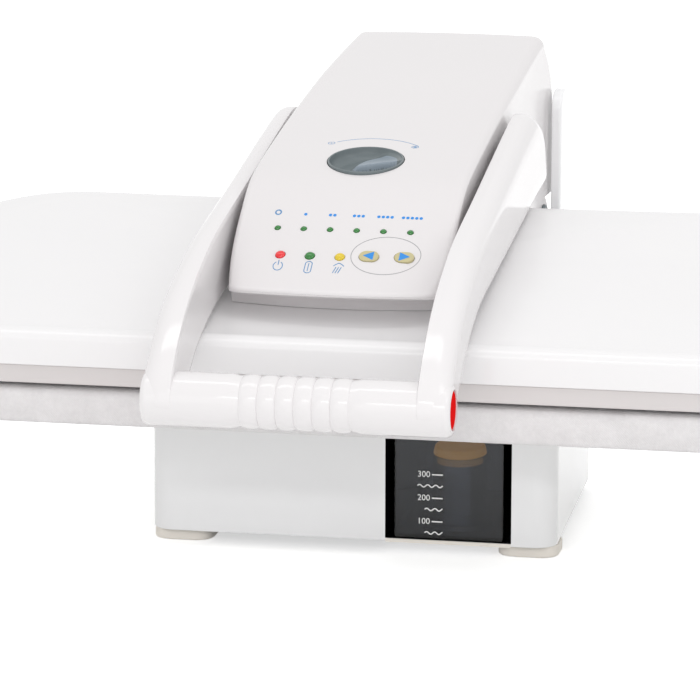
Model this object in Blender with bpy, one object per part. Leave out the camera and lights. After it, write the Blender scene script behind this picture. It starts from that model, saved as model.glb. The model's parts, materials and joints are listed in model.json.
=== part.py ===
"""Table-top steam ironing press with a yoke handle, a toggle lock and a slide-in water tank.

Metres, +Z up, front at -Y, standing on Z = 0. Everything lies at rest: head closed, handle locked.
The head swings about the hinge at the rear. The yoke handle swings on the head, and its levers and
long toggle links pull on an anchor pin under the hinge, so that lifting the bar opens the head.
"""
import math

import bmesh
import bpy
from mathutils import Matrix, Vector

# Driving dimensions
BOARD_LENGTH = 0.640
BOARD_DEPTH = 0.284
BOARD_FRONT_Y = -0.194
BOARD_CORNER_RADIUS = 0.090
BASE_WIDTH = 0.257
BASE_SETBACK = 0.095
FOOT_HEIGHT = 0.008
BASE_HEIGHT = 0.083
BASE_WALL = 0.003
TOWER_CLEARANCE = 0.013
TOWER_HEIGHT = 0.126
HINGE_SETBACK = 0.123
HINGE_Z = 0.154
TOWER_REAR_SETBACK = 0.0456
PIVOT_FORWARD = 0.135
PIVOT_RISE = 0.068
HOUSING_WIDTH = 0.136
HOUSING_WALL = 0.0025
HANDLE_REACH = 0.061
HANDLE_BAR_Z = 0.128
YOKE_SIDE_GAP = 0.004
YOKE_ARM_WIDTH = 0.0194
EAR_SIDE_GAP = 0.0053
EAR_THICKNESS = 0.0067

# Places that follow from them
BOARD_BACK_Y = BOARD_FRONT_Y + BOARD_DEPTH
BASE_FRONT_Y = BOARD_FRONT_Y + BASE_SETBACK
BASE_BACK_Y = BOARD_BACK_Y + TOWER_CLEARANCE
BASE_TOP_Z = FOOT_HEIGHT + BASE_HEIGHT
HINGE_Y = BASE_BACK_Y + HINGE_SETBACK
TOWER_REAR_Y = HINGE_Y + TOWER_REAR_SETBACK
TOWER_WIDTH = HOUSING_WIDTH + (EAR_SIDE_GAP + EAR_THICKNESS) * 2
HANDLE_PIVOT_Y = HINGE_Y - PIVOT_FORWARD
HANDLE_PIVOT_Z = HINGE_Z + PIVOT_RISE
HANDLE_REACH_Y = BOARD_FRONT_Y - HANDLE_REACH
YOKE_INNER_WIDTH = HOUSING_WIDTH + YOKE_SIDE_GAP * 2
YOKE_OUTER_WIDTH = YOKE_INNER_WIDTH + YOKE_ARM_WIDTH * 2

# Clearances
SEAT_GAP = 0.0003
PIN_CLEARANCE = 0.0003
RUNNING_CLEARANCE = 0.0002
LINK_EYE_CLEARANCE = 0.0007
OVERRUN = 0.004

# Facets
ARC_STEPS = 5
ROUND_SEGMENTS = 16
SMALL_SEGMENTS = 12
TINY_SEGMENTS = 8
HOLE_SEGMENTS = 6
FLATNESS = 1e-7

UP = Vector((0, 0, 1))
RIGHT = Vector((1, 0, 0))
SIDES = (("left", -1), ("right", 1))


def material(name, color, roughness, metallic=0.0, alpha=1.0):
    """A plain Principled material of the piece's colour."""
    made = bpy.data.materials.new(name)
    made.use_nodes = True
    shader = made.node_tree.nodes["Principled BSDF"]
    shader.inputs["Base Color"].default_value = (*color, 1.0)
    shader.inputs["Roughness"].default_value = roughness
    shader.inputs["Metallic"].default_value = metallic
    shader.inputs["Alpha"].default_value = alpha
    made.diffuse_color = (*color, alpha)
    return made


def finish(name, mesh_data, surface):
    """Turn a bmesh into a named object with outward faces and smooth round sides."""
    bmesh.ops.recalc_face_normals(mesh_data, faces=mesh_data.faces)
    mesh = bpy.data.meshes.new(name)
    mesh_data.to_mesh(mesh)
    mesh_data.free()
    made = bpy.data.objects.new(name, mesh)
    bpy.context.scene.collection.objects.link(made)
    if surface is not None:
        mesh.materials.append(surface)
    mesh.shade_smooth()
    mesh.set_sharp_from_angle(angle=math.radians(35))
    return made


def split_warped(mesh_data):
    """Divide each face that isn't flat into triangles."""
    warped = []
    for face in mesh_data.faces:
        if len(face.verts) < 4:
            continue
        centre = face.calc_center_median()
        if max(abs((vert.co - centre).dot(face.normal)) for vert in face.verts) > FLATNESS:
            warped.append(face)
    bmesh.ops.triangulate(mesh_data, faces=warped)


def skin(name, rings, surface, loop=False, folded=False):
    """Skin closed rings of equal length.

    The ends are flat caps, a closed tunnel when looped, or, when folded, strips across each
    end between the points that mirror each other left and right.
    """
    mesh_data = bmesh.new()
    made = [[mesh_data.verts.new(point) for point in ring] for ring in rings]
    count = len(made[0])
    pairs = list(zip(made, made[1:]))
    if loop:
        pairs.append((made[-1], made[0]))
    for low, high in pairs:
        for index in range(count):
            after = (index + 1) % count
            mesh_data.faces.new((low[index], low[after], high[after], high[index]))
    if folded:
        for ring in (made[0], made[-1]):
            for index in range(count // 2):
                corners = (ring[index], ring[index + 1], ring[count - index - 1], ring[-index])
                mesh_data.faces.new(list(dict.fromkeys(corners)))
    elif not loop:
        mesh_data.faces.new(made[0])
        mesh_data.faces.new(made[-1])
    mesh_data.normal_update()
    split_warped(mesh_data)
    return finish(name, mesh_data, surface)


def turned(name, profile, place, surface, segments=ROUND_SEGMENTS, loop=False):
    """Turn a profile of (radius, height) about the local Z axis of a placement matrix."""
    mesh_data = bmesh.new()
    rings = []
    for radius, height in profile:
        if radius == 0:
            rings.append([mesh_data.verts.new(place @ Vector((0, 0, height)))])
            continue
        ring = []
        for index in range(segments):
            angle = math.tau * index / segments
            spot = Vector((radius * math.cos(angle), radius * math.sin(angle), height))
            ring.append(mesh_data.verts.new(place @ spot))
        rings.append(ring)
    pairs = list(zip(rings, rings[1:]))
    if loop:
        pairs.append((rings[-1], rings[0]))
    for low, high in pairs:
        for index in range(segments):
            after = (index + 1) % segments
            corners = [low[index % len(low)], low[after % len(low)]]
            corners += [high[after % len(high)], high[index % len(high)]]
            unique = list(dict.fromkeys(corners))
            if len(unique) > 2:
                mesh_data.faces.new(unique)
    if not loop:
        for ring in (rings[0], rings[-1]):
            if len(ring) > 1:
                mesh_data.faces.new(ring)
    return finish(name, mesh_data, surface)


def rounded(corners, steps=ARC_STEPS):
    """Outline through corners given as (a, b, radius), each rounded by its own arc."""
    points = []
    for index, (a, b, radius) in enumerate(corners):
        corner = Vector((a, b))
        if radius == 0:
            points.append(tuple(corner))
            continue
        back = (Vector(corners[index - 1][:2]) - corner).normalized()
        ahead = (Vector(corners[(index + 1) % len(corners)][:2]) - corner).normalized()
        half = back.angle(ahead) / 2
        centre = corner + (back + ahead).normalized() * (radius / math.sin(half))
        start = corner + back * (radius / math.tan(half)) - centre
        sweep = start.angle_signed(corner + ahead * (radius / math.tan(half)) - centre)
        for step in range(steps + 1):
            turn = Matrix.Rotation(-sweep * step / steps, 2)
            points.append(tuple(centre + turn @ start))
    return points


def prism(name, outline, axis, low, high, surface):
    """Extrude an outline along X (outline in Y, Z), Y (X, Z) or Z (X, Y)."""
    order = {"X": lambda a, b, c: (c, a, b), "Y": lambda a, b, c: (a, c, b), "Z": lambda a, b, c: (a, b, c)}
    rings = [[order[axis](a, b, level) for a, b in outline] for level in (low, high)]
    return skin(name, rings, surface)


def block(name, low, high, surface):
    """A plain box between two corners."""
    outline = ((low[0], low[1]), (high[0], low[1]), (high[0], high[1]), (low[0], high[1]))
    return prism(name, outline, "Z", low[2], high[2], surface)


def placed(origin, direction=UP, across=RIGHT):
    """Matrix whose local Z lies along a direction and whose local X lies near another."""
    z_axis = Vector(direction).normalized()
    x_axis = (Vector(across) - z_axis * z_axis.dot(Vector(across))).normalized()
    y_axis = z_axis.cross(x_axis)
    turn = Matrix((x_axis, y_axis, z_axis)).transposed().to_4x4()
    return Matrix.Translation(Vector(origin)) @ turn


def rod(name, radius, place, low, high, surface, segments=ROUND_SEGMENTS):
    """A plain round bar along a placement's Z axis."""
    profile = ((0, low), (radius, low), (radius, high), (0, high))
    return turned(name, profile, place, surface, segments)


def cross_rod(name, radius, y, z, low, high, surface, segments=ROUND_SEGMENTS):
    """A round bar along X between two X values."""
    return rod(name, radius, placed((0, y, z), RIGHT, UP), low, high, surface, segments)


def combine(target, tool, operation):
    """Apply a Boolean between two objects and remove the tool."""
    tool.hide_render = True
    tool.display_type = "WIRE"
    modifier = target.modifiers.new(operation.title(), "BOOLEAN")
    modifier.operation = operation
    modifier.object = tool
    modifier.solver = "EXACT"
    graph = bpy.context.evaluated_depsgraph_get()
    mesh = bpy.data.meshes.new_from_object(target.evaluated_get(graph))
    target.modifiers.clear()
    spent = target.data
    target.data = mesh
    bpy.data.meshes.remove(spent)
    spent = tool.data
    bpy.data.objects.remove(tool)
    bpy.data.meshes.remove(spent)
    mesh.name = target.name
    return target


def cut(target, tool):
    """Take a tool's volume out of a piece."""
    return combine(target, tool, "DIFFERENCE")


def weld(target, tool):
    """Add a tool's volume to a piece."""
    return combine(target, tool, "UNION")


def gathered(name, pieces):
    """One cutter from several separate solids that don't touch."""
    mesh_data = bmesh.new()
    for piece in pieces:
        mesh_data.from_mesh(piece.data)
        spent = piece.data
        bpy.data.objects.remove(piece)
        bpy.data.meshes.remove(spent)
    return finish(name, mesh_data, None)


def pin_origin(piece, spot):
    """Move an object's origin to a point of its joint axis and leave its shape where it is."""
    piece.data.transform(Matrix.Translation(-Vector(spot)))
    piece.location = spot


def board_outline(inset, steps=ARC_STEPS):
    """Plan outline of the board, drawn in all round by an inset, with points along its sides."""
    half = BOARD_LENGTH / 2 - inset
    front = BOARD_FRONT_Y + inset
    back = BOARD_FRONT_Y + BOARD_DEPTH - inset
    curve = max(BOARD_CORNER_RADIUS - inset, BASE_WALL)
    corners = ((half, back, curve), (-half, back, curve), (-half, front, curve), (half, front, curve))
    points = rounded(corners, steps)
    divided = []
    for index, point in enumerate(points):
        after = points[(index + 1) % len(points)]
        divided.append(point)
        if math.dist(point, after) > BOARD_DEPTH:
            for share in SIDE_POINT_SHARES:
                divided.append((point[0] + (after[0] - point[0]) * share, point[1]))
    return divided


SIDE_POINT_SHARES = (0.15, 0.38, 0.62, 0.85)

# Base: moulded housing with the tank bay, floor plate and feet
BASE_CORNER_RADIUS = 0.022
BASE_TOE_IN = 0.006
BAY_LEFT_X = 0.022
BAY_RIGHT_X = 0.101
BAY_FLOOR = 0.002
BAY_DEPTH = 0.120
BAY_EDGE_RADIUS = 0.002
SOCKET_HOLE_RADIUS = 0.008
SOCKET_HOLE_HEIGHT = 0.018
BAY_BACK_Y = BASE_FRONT_Y + BAY_DEPTH
BAY_MIDDLE_X = (BAY_LEFT_X + BAY_RIGHT_X) / 2


def base_outline(inset):
    """Plan outline of the front box, slightly narrower at its back."""
    front = BASE_WIDTH / 2 - inset
    back = front - BASE_TOE_IN
    low = BASE_FRONT_Y + inset
    high = BASE_BACK_Y - inset
    curve = BASE_CORNER_RADIUS - inset
    return rounded(((front, low, curve), (back, high, curve), (-back, high, curve), (-front, low, curve)))


def bay_box(name, grow, surface=None):
    """The tank bay's volume, grown by a wall on its closed sides."""
    low = (BAY_LEFT_X - grow, BASE_FRONT_Y - OVERRUN, FOOT_HEIGHT + BAY_FLOOR - grow)
    high = (BAY_RIGHT_X + grow, BAY_BACK_Y + grow, BASE_TOP_Z - BASE_WALL + grow)
    return block(name, low, high, surface)


def make_base(skins):
    housing = prism("base_housing", base_outline(0), "Z", FOOT_HEIGHT, BASE_TOP_Z, skins["white"])
    edge = housing.modifiers.new("Edge", "BEVEL")
    edge.width = BAY_EDGE_RADIUS
    edge.segments = 2
    edge.limit_method = "ANGLE"
    hollow = prism("hollow", base_outline(BASE_WALL), "Z", 0, BASE_TOP_Z - BASE_WALL, None)
    cut(hollow, bay_box("liner", BASE_WALL))
    cut(housing, hollow)
    cut(housing, bay_box("bay", 0))
    socket_z = FOOT_HEIGHT + BAY_FLOOR + SOCKET_HOLE_HEIGHT
    hole = placed((BAY_MIDDLE_X, BAY_BACK_Y, socket_z), (0, 1, 0))
    cut(housing, rod("hole", SOCKET_HOLE_RADIUS, hole, -OVERRUN, OVERRUN, None, SMALL_SEGMENTS))
    return housing


FLOOR_PLATE_THICKNESS = 0.0025
VENT_LENGTH = 0.060
VENT_WIDTH = 0.004
VENT_PITCH = 0.011
VENT_COUNT = 6
VENT_CENTRE_X = -0.055


def make_floor_plate(skins):
    low = FOOT_HEIGHT
    high = FOOT_HEIGHT + FLOOR_PLATE_THICKNESS
    inset = BASE_WALL + SEAT_GAP
    plate = prism("floor_plate", base_outline(inset), "Z", low, high, skins["grey"])
    footprint = block(
        "bay",
        (BAY_LEFT_X - BASE_WALL - SEAT_GAP, BASE_FRONT_Y - OVERRUN, low - OVERRUN),
        (BAY_RIGHT_X + BASE_WALL + SEAT_GAP, BAY_BACK_Y + BASE_WALL + SEAT_GAP, high + OVERRUN),
        None,
    )
    cut(plate, footprint)
    slots = []
    for index in range(VENT_COUNT):
        y = VENT_PITCH * (index - (VENT_COUNT - 1) / 2)
        half = VENT_WIDTH / 2
        near = (VENT_CENTRE_X - VENT_LENGTH / 2, y - half, low - OVERRUN)
        far = (VENT_CENTRE_X + VENT_LENGTH / 2, y + half, high + OVERRUN)
        slots.append(block("slot", near, far, None))
    cut(plate, gathered("slots", slots))
    return plate


FOOT_LENGTH = 0.038
FOOT_DEPTH = 0.026
FOOT_SETBACK = 0.007
FOOT_EDGE = 0.0015
REAR_FOOT_SETBACK = 0.014


def make_feet(skins):
    made = []
    top = FOOT_HEIGHT - SEAT_GAP
    low_edge = FOOT_EDGE
    for end in ("front", "rear"):
        for side, sign in SIDES:
            if end == "front":
                outer = BASE_WIDTH / 2
                near = BASE_FRONT_Y + FOOT_SETBACK
            else:
                outer = TOWER_WIDTH / 2 - FOOT_SETBACK
                near = TOWER_REAR_Y - REAR_FOOT_SETBACK - FOOT_DEPTH
            inner = outer - FOOT_LENGTH
            rings = []
            for draw, z in ((low_edge, 0), (0, low_edge), (0, top)):
                curve = FOOT_DEPTH / 2 - draw
                corners = (
                    (sign * (outer - draw), near + draw, curve - FOOT_EDGE),
                    (sign * (outer - draw), near + FOOT_DEPTH - draw, FOOT_EDGE),
                    (sign * (inner + draw), near + FOOT_DEPTH - draw, FOOT_EDGE),
                    (sign * (inner + draw), near + draw, curve - FOOT_EDGE),
                )
                rings.append([(x, y, z) for x, y in rounded(corners)])
            made.append(skin(f"{end}_foot_{side}", rings, skins["cream"]))
    return made


# Rear tower: neck behind the board, with an ear on each side of the head's rear
TOWER_CORNER_RADIUS = 0.012
TOWER_REAR_WALL_TOP = 0.146
EAR_DEPTH = 0.031
EAR_TOP_Z = 0.243
EAR_TOP_RADIUS = 0.013
EAR_EDGE = 0.0022
MOUTH_SIDE = 0.007
TOWER_MOUTH_FORWARD = 0.028
INLET_RADIUS = 0.009
INLET_X = 0.022
INLET_Z = 0.040
TOWER_TOP_Z = FOOT_HEIGHT + TOWER_HEIGHT
TOWER_FRONT_Y = BASE_BACK_Y + SEAT_GAP
MOUTH_WIDTH = HOUSING_WIDTH - MOUTH_SIDE * 2


def tower_outline(inset):
    """Plan outline of the neck, square in front and rounded at the rear."""
    half = TOWER_WIDTH / 2 - inset
    high = TOWER_REAR_Y - inset
    curve = TOWER_CORNER_RADIUS - inset
    low = TOWER_FRONT_Y + inset
    front = BASE_WALL
    return rounded(((half, low, front), (half, high, curve), (-half, high, curve), (-half, low, front)))


def make_tower(skins):
    """Neck and ears: the plan outline's prism met by the side outline's, then hollowed."""
    ear_front = TOWER_REAR_Y - EAR_DEPTH
    rear = TOWER_REAR_Y - EAR_EDGE / 4
    side = (
        (BASE_BACK_Y - OVERRUN, FOOT_HEIGHT, 0),
        (BASE_BACK_Y - OVERRUN, TOWER_TOP_Z, 0),
        (ear_front, TOWER_TOP_Z, 0),
        (ear_front, EAR_TOP_Z, EAR_TOP_RADIUS),
        (rear, EAR_TOP_Z, EAR_TOP_RADIUS),
        (rear, FOOT_HEIGHT, 0),
    )
    low = FOOT_HEIGHT - OVERRUN
    tower = prism("rear_tower", tower_outline(0), "Z", low, EAR_TOP_Z + OVERRUN, skins["white"])
    combine(tower, prism("side", rounded(side), "X", -TOWER_WIDTH, TOWER_WIDTH, None), "INTERSECT")
    edge = tower.modifiers.new("Edge", "BEVEL")
    edge.width = EAR_EDGE
    edge.segments = 2
    edge.limit_method = "ANGLE"
    edge.angle_limit = math.radians(60)
    wall = rear - BASE_WALL
    between = (
        (BASE_BACK_Y - OVERRUN, TOWER_TOP_Z + EAR_EDGE),
        (ear_front - OVERRUN, TOWER_TOP_Z + EAR_EDGE),
        (ear_front - OVERRUN, TOWER_TOP_Z - EAR_EDGE / 8),
        (wall, TOWER_TOP_Z - EAR_EDGE / 8),
        (wall, TOWER_REAR_WALL_TOP),
        (TOWER_REAR_Y + OVERRUN, TOWER_REAR_WALL_TOP),
        (TOWER_REAR_Y + OVERRUN, EAR_TOP_Z + OVERRUN),
        (BASE_BACK_Y - OVERRUN, EAR_TOP_Z + OVERRUN),
    )
    reach = TOWER_WIDTH / 2 - EAR_THICKNESS
    cut(tower, prism("between", between, "X", -reach, reach, None))
    cut(tower, prism("hollow", tower_outline(BASE_WALL), "Z", 0, TOWER_TOP_Z - BASE_WALL, None))
    half = MOUTH_WIDTH / 2
    mouth = block(
        "mouth",
        (-half, HINGE_Y - TOWER_MOUTH_FORWARD, TOWER_TOP_Z - BASE_WALL - OVERRUN),
        (half, TOWER_REAR_Y - BASE_WALL, TOWER_TOP_Z + OVERRUN),
        None,
    )
    cut(tower, mouth)
    inlet = placed((INLET_X, TOWER_REAR_Y, INLET_Z), (0, 1, 0))
    hole_radius = INLET_RADIUS + SEAT_GAP
    cut(tower, rod("inlet", hole_radius, inlet, -BASE_WALL - OVERRUN, OVERRUN, None, ROUND_SEGMENTS))
    return tower


INLET_FLANGE = 0.003
INLET_FLANGE_THICKNESS = 0.0025
INLET_LENGTH = 0.018
INLET_BORE = 0.004


def make_inlet(skins):
    """Mains inlet bush in the rear wall, with a bore through it."""
    place = placed((INLET_X, TOWER_REAR_Y - BASE_WALL - SEAT_GAP, INLET_Z), (0, -1, 0))
    profile = (
        (INLET_BORE, -BASE_WALL),
        (INLET_RADIUS, -BASE_WALL),
        (INLET_RADIUS, 0),
        (INLET_RADIUS + INLET_FLANGE, 0),
        (INLET_RADIUS + INLET_FLANGE, INLET_FLANGE_THICKNESS),
        (INLET_RADIUS, INLET_FLANGE_THICKNESS),
        (INLET_RADIUS, INLET_LENGTH),
        (INLET_BORE, INLET_LENGTH),
    )
    return turned("mains_inlet", profile, place, skins["dark"], loop=True)


def make_tower_plate(skins):
    """Floor plate of the rear tower, which carries the steel hinge cheeks."""
    outline = tower_outline(BASE_WALL + SEAT_GAP)
    high = FOOT_HEIGHT + FLOOR_PLATE_THICKNESS
    return prism("tower_floor_plate", outline, "Z", FOOT_HEIGHT, high, skins["grey"])


# Hinge: steel cheeks on the floor plate, stub pins, bushes and caps
CHEEK_THICKNESS = 0.004
ARM_SIDE_GAP = 0.0145
CHEEK_SIDE_GAP = 0.0035
CAP_SEAT = 0.0012
CHEEK_HINGE_RADIUS = 0.015
CHEEK_ANCHOR_RADIUS = 0.009
CHEEK_FOOT_FORWARD = 0.050
CHEEK_FOOT_HEIGHT = 0.022
CHEEK_WAIST_FORWARD = 0.028
CHEEK_FLANGE = 0.014
CHEEK_CORNER = 0.004
HINGE_PIN_RADIUS = 0.005
HINGE_PIN_HEAD_RADIUS = 0.008
HINGE_PIN_HEAD = 0.0014
HINGE_PIN_REACH = 0.0013
ANCHOR_DROP = 0.0225
ANCHOR_SETBACK = 0.0206
ANCHOR_PIN_RADIUS = 0.003
ANCHOR_PIN_END = 0.0015
ANCHOR_Y = HINGE_Y + ANCHOR_SETBACK
ANCHOR_Z = HINGE_Z - ANCHOR_DROP
CHEEK_FOOT_FRONT_Y = HINGE_Y - CHEEK_FOOT_FORWARD
CHEEK_WAIST_Y = HINGE_Y - CHEEK_WAIST_FORWARD
ARM_INNER_X = HOUSING_WIDTH / 2 - ARM_SIDE_GAP
CHEEK_OUTER_X = ARM_INNER_X - CHEEK_SIDE_GAP
CHEEK_INNER_X = CHEEK_OUTER_X - CHEEK_THICKNESS
CAP_INNER_X = HOUSING_WIDTH / 2 + CAP_SEAT
HINGE_PIN_END_X = CAP_INNER_X + HINGE_PIN_REACH


def strap_outline(first, first_radius, second, second_radius, steps=ARC_STEPS + 1):
    """Outline round two circles and the two lines that touch both."""
    start = Vector(first)
    along = Vector(second) - start
    lean = math.asin((first_radius - second_radius) / along.length)
    heading = math.atan2(along.y, along.x)
    points = []
    for centre, radius, begin, end in (
        (start, first_radius, math.pi / 2 - lean, 3 * math.pi / 2 + lean),
        (Vector(second), second_radius, -math.pi / 2 + lean, math.pi / 2 - lean),
    ):
        for step in range(steps + 1):
            angle = heading + begin + (end - begin) * step / steps
            points.append((centre.x + radius * math.cos(angle), centre.y + radius * math.sin(angle)))
    return points


def make_hinge(skins):
    made = []
    low = FOOT_HEIGHT + FLOOR_PLATE_THICKNESS + SEAT_GAP
    foot_top = low + CHEEK_FOOT_HEIGHT
    rear = ANCHOR_Y + CHEEK_ANCHOR_RADIUS
    body = (
        (CHEEK_FOOT_FRONT_Y, low, 0),
        (rear, low, 0),
        (rear, ANCHOR_Z, CHEEK_ANCHOR_RADIUS),
        (HINGE_Y, HINGE_Z, 0),
        (CHEEK_WAIST_Y + CHEEK_HINGE_RADIUS, HINGE_Z - CHEEK_HINGE_RADIUS / 2, 0),
        (CHEEK_WAIST_Y, ANCHOR_Z - CHEEK_FOOT_HEIGHT, CHEEK_FOOT_HEIGHT),
        (CHEEK_FOOT_FRONT_Y, foot_top, CHEEK_CORNER),
    )
    anchor = (ANCHOR_Y, ANCHOR_Z)
    head = strap_outline((HINGE_Y, HINGE_Z), CHEEK_HINGE_RADIUS, anchor, CHEEK_ANCHOR_RADIUS)
    for side, sign in SIDES:
        near = sign * CHEEK_INNER_X
        far = sign * CHEEK_OUTER_X
        left = min(near, far)
        right = max(near, far)
        cheek = prism(f"hinge_cheek_{side}", rounded(body), "X", left, right, skins["steel"])
        weld(cheek, prism("head", head, "X", left, right, None))
        flange_far = sign * (CHEEK_OUTER_X + CHEEK_FLANGE)
        flange = block(
            "flange",
            (min(near, flange_far), CHEEK_FOOT_FRONT_Y, low),
            (max(near, flange_far), rear, low + CHEEK_THICKNESS),
            None,
        )
        weld(cheek, flange)
        for radius, y, z in (
            (HINGE_PIN_RADIUS + PIN_CLEARANCE, HINGE_Y, HINGE_Z),
            (ANCHOR_PIN_RADIUS + PIN_CLEARANCE, ANCHOR_Y, ANCHOR_Z),
        ):
            cut(cheek, cross_rod("hole", radius, y, z, left - OVERRUN, right + OVERRUN, None))
        made.append(cheek)
        place = placed((0, HINGE_Y, HINGE_Z), RIGHT * sign, UP)
        head_out = CHEEK_INNER_X - SEAT_GAP
        profile = (
            (0, head_out - HINGE_PIN_HEAD),
            (HINGE_PIN_HEAD_RADIUS, head_out - HINGE_PIN_HEAD),
            (HINGE_PIN_HEAD_RADIUS, head_out),
            (HINGE_PIN_RADIUS, head_out),
            (HINGE_PIN_RADIUS, HINGE_PIN_END_X),
            (0, HINGE_PIN_END_X),
        )
        made.append(turned(f"hinge_pin_{side}", profile, place, skins["steel"]))
    reach = CHEEK_OUTER_X + ANCHOR_PIN_END
    made.append(cross_rod("toggle_anchor_pin", ANCHOR_PIN_RADIUS, *anchor, -reach, reach, skins["steel"]))
    return made


CAP_RADIUS = 0.0126
CAP_HEIGHT = 0.0034
CAP_SOCKET_DEPTH = 0.0017
CAP_EDGE = 0.0010
CAP_CLEARANCE = 0.0004


def make_hinge_caps(skins):
    made = []
    outer = CAP_INNER_X + CAP_HEIGHT
    socket = HINGE_PIN_END_X + SEAT_GAP
    for side, sign in SIDES:
        place = placed((0, HINGE_Y, HINGE_Z), RIGHT * sign, UP)
        profile = (
            (0, socket),
            (HINGE_PIN_RADIUS + PIN_CLEARANCE, socket),
            (HINGE_PIN_RADIUS + PIN_CLEARANCE, CAP_INNER_X),
            (CAP_RADIUS, CAP_INNER_X),
            (CAP_RADIUS, outer - CAP_EDGE),
            (CAP_RADIUS - CAP_EDGE, outer),
            (0, outer),
        )
        made.append(turned(f"hinge_cap_{side}", profile, place, skins["grey"]))
    return made


# Board: rails, perforated pan, foam and cloth cover
RAIL_WIDTH = 0.024
RAIL_X = 0.090
RAIL_REAR_SETBACK = 0.030
RAIL_SETBACK = 0.018
PAN_THICKNESS = 0.0015
COVER_THICKNESS = 0.0015
COVER_BOTTOM_Z = 0.0943
COVER_HEIGHT = 0.0237
HEM_WIDTH = 0.015
COVER_EDGE_RADIUS = 0.007
COVER_BULGE = 0.0010
COVER_CROWN = 0.0012
PAN_HOLE_RADIUS = 0.003
PAN_HOLE_ROWS = 3
PAN_HOLE_COLUMNS = 7
PAN_HOLE_PITCH = 0.066
CROWN_INSET = 0.045
COVER_TOP_Z = COVER_BOTTOM_Z + COVER_HEIGHT
PAN_BOTTOM_Z = COVER_BOTTOM_Z + COVER_THICKNESS + SEAT_GAP


def cushion_profile(low, high, inset):
    """Insets and heights from the lower edge over the bulging side to the crown of the pad."""
    middle = (low + high) / 2
    edge = COVER_EDGE_RADIUS - inset
    shoulder = high - COVER_CROWN
    profile = [(inset + COVER_BULGE, low), (inset, middle)]
    for step in range(ARC_STEPS - 1):
        angle = math.pi / 2 * step / (ARC_STEPS - 2)
        draw = inset + edge * (1 - math.cos(angle))
        profile.append((draw, shoulder - edge + edge * math.sin(angle)))
    profile.append((inset + CROWN_INSET, high))
    return profile


def level_rings(profile):
    """Plan rings of the board, one for each inset and height."""
    return [[(x, y, z) for x, y in board_outline(inset)] for inset, z in profile]


def make_board(skins):
    made = []
    rail_low = BASE_TOP_Z + SEAT_GAP
    rail_high = PAN_BOTTOM_Z - SEAT_GAP
    rail_front = BOARD_FRONT_Y + RAIL_SETBACK
    rail_back = BOARD_BACK_Y - RAIL_REAR_SETBACK
    tie_front = (rail_front + rail_back - RAIL_WIDTH) / 2
    tie_low = (-RAIL_X, tie_front, rail_low)
    tie_high = (RAIL_X, tie_front + RAIL_WIDTH, rail_high)
    bracket = block("board_bracket", tie_low, tie_high, skins["steel"])
    for _, sign in SIDES:
        low = (sign * RAIL_X - RAIL_WIDTH / 2, rail_front, rail_low)
        high = (sign * RAIL_X + RAIL_WIDTH / 2, rail_back, rail_high)
        weld(bracket, block("rail", low, high, None))
    made.append(bracket)
    slack = COVER_THICKNESS + SEAT_GAP
    pan_outline = board_outline(slack + COVER_BULGE)
    pan = prism("board_pan", pan_outline, "Z", PAN_BOTTOM_Z, PAN_BOTTOM_Z + PAN_THICKNESS, skins["steel"])
    holes = []
    centre_y = BOARD_FRONT_Y + BOARD_DEPTH / 2
    for row in range(PAN_HOLE_ROWS):
        for column in range(PAN_HOLE_COLUMNS):
            x = PAN_HOLE_PITCH * (column - (PAN_HOLE_COLUMNS - 1) / 2)
            y = centre_y + PAN_HOLE_PITCH * (row - (PAN_HOLE_ROWS - 1) / 2)
            spot = placed((x, y, PAN_BOTTOM_Z))
            holes.append(rod("hole", PAN_HOLE_RADIUS, spot, -OVERRUN, OVERRUN, None, HOLE_SEGMENTS))
    cut(pan, gathered("holes", holes))
    made.append(pan)
    foam_low = PAN_BOTTOM_Z + PAN_THICKNESS + SEAT_GAP
    foam_high = COVER_TOP_Z - slack
    made.append(skin("board_foam", level_rings(cushion_profile(foam_low, foam_high, slack)), skins["foam"]))
    outside = [(HEM_WIDTH, COVER_BOTTOM_Z), (COVER_BULGE * 2, COVER_BOTTOM_Z)]
    outside += cushion_profile(COVER_BOTTOM_Z + COVER_BULGE, COVER_TOP_Z, 0)
    inside = [(HEM_WIDTH, COVER_BOTTOM_Z + COVER_THICKNESS)]
    inside += [(COVER_BULGE + COVER_THICKNESS, COVER_BOTTOM_Z + COVER_THICKNESS)]
    inside += cushion_profile(PAN_BOTTOM_Z, COVER_TOP_Z - COVER_THICKNESS, COVER_THICKNESS)
    cover = skin("board_cover", level_rings(outside), skins["cloth"])
    cavity_rings = level_rings(inside)
    mouth = [(x, y, COVER_BOTTOM_Z - OVERRUN) for x, y, z in cavity_rings[0]]
    cut(cover, skin("cavity", [mouth] + cavity_rings, None))
    made.append(cover)
    return made


# Water tank: clear box with a lid, filter tube, filter cap and outlet valve
TANK_SIDE_GAP = 0.004
TANK_WALL = 0.0018
TANK_TOP_Z = 0.0835
TANK_DEPTH = 0.112
TANK_PROUD = 0.0005
TANK_CORNER = 0.004
LID_THICKNESS = 0.0022
LID_LIP = 0.003
WELL_SHIFT = 0.0015
WELL_SETBACK = 0.034
WELL_RADIUS = 0.017
WELL_WALL = 0.0016
WELL_HEIGHT = 0.044
WELL_BASE_RADIUS = 0.0205
WELL_BASE_HEIGHT = 0.0025
FILTER_CAP_RADIUS = 0.0155
FILTER_CAP_HEIGHT = 0.0052
VALVE_RADIUS = 0.0055
VALVE_LENGTH = 0.0075
TANK_BOTTOM_Z = FOOT_HEIGHT + BAY_FLOOR + SEAT_GAP
TANK_FRONT_Y = BASE_FRONT_Y + TANK_PROUD
WELL_Y = TANK_FRONT_Y + WELL_SETBACK


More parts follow.
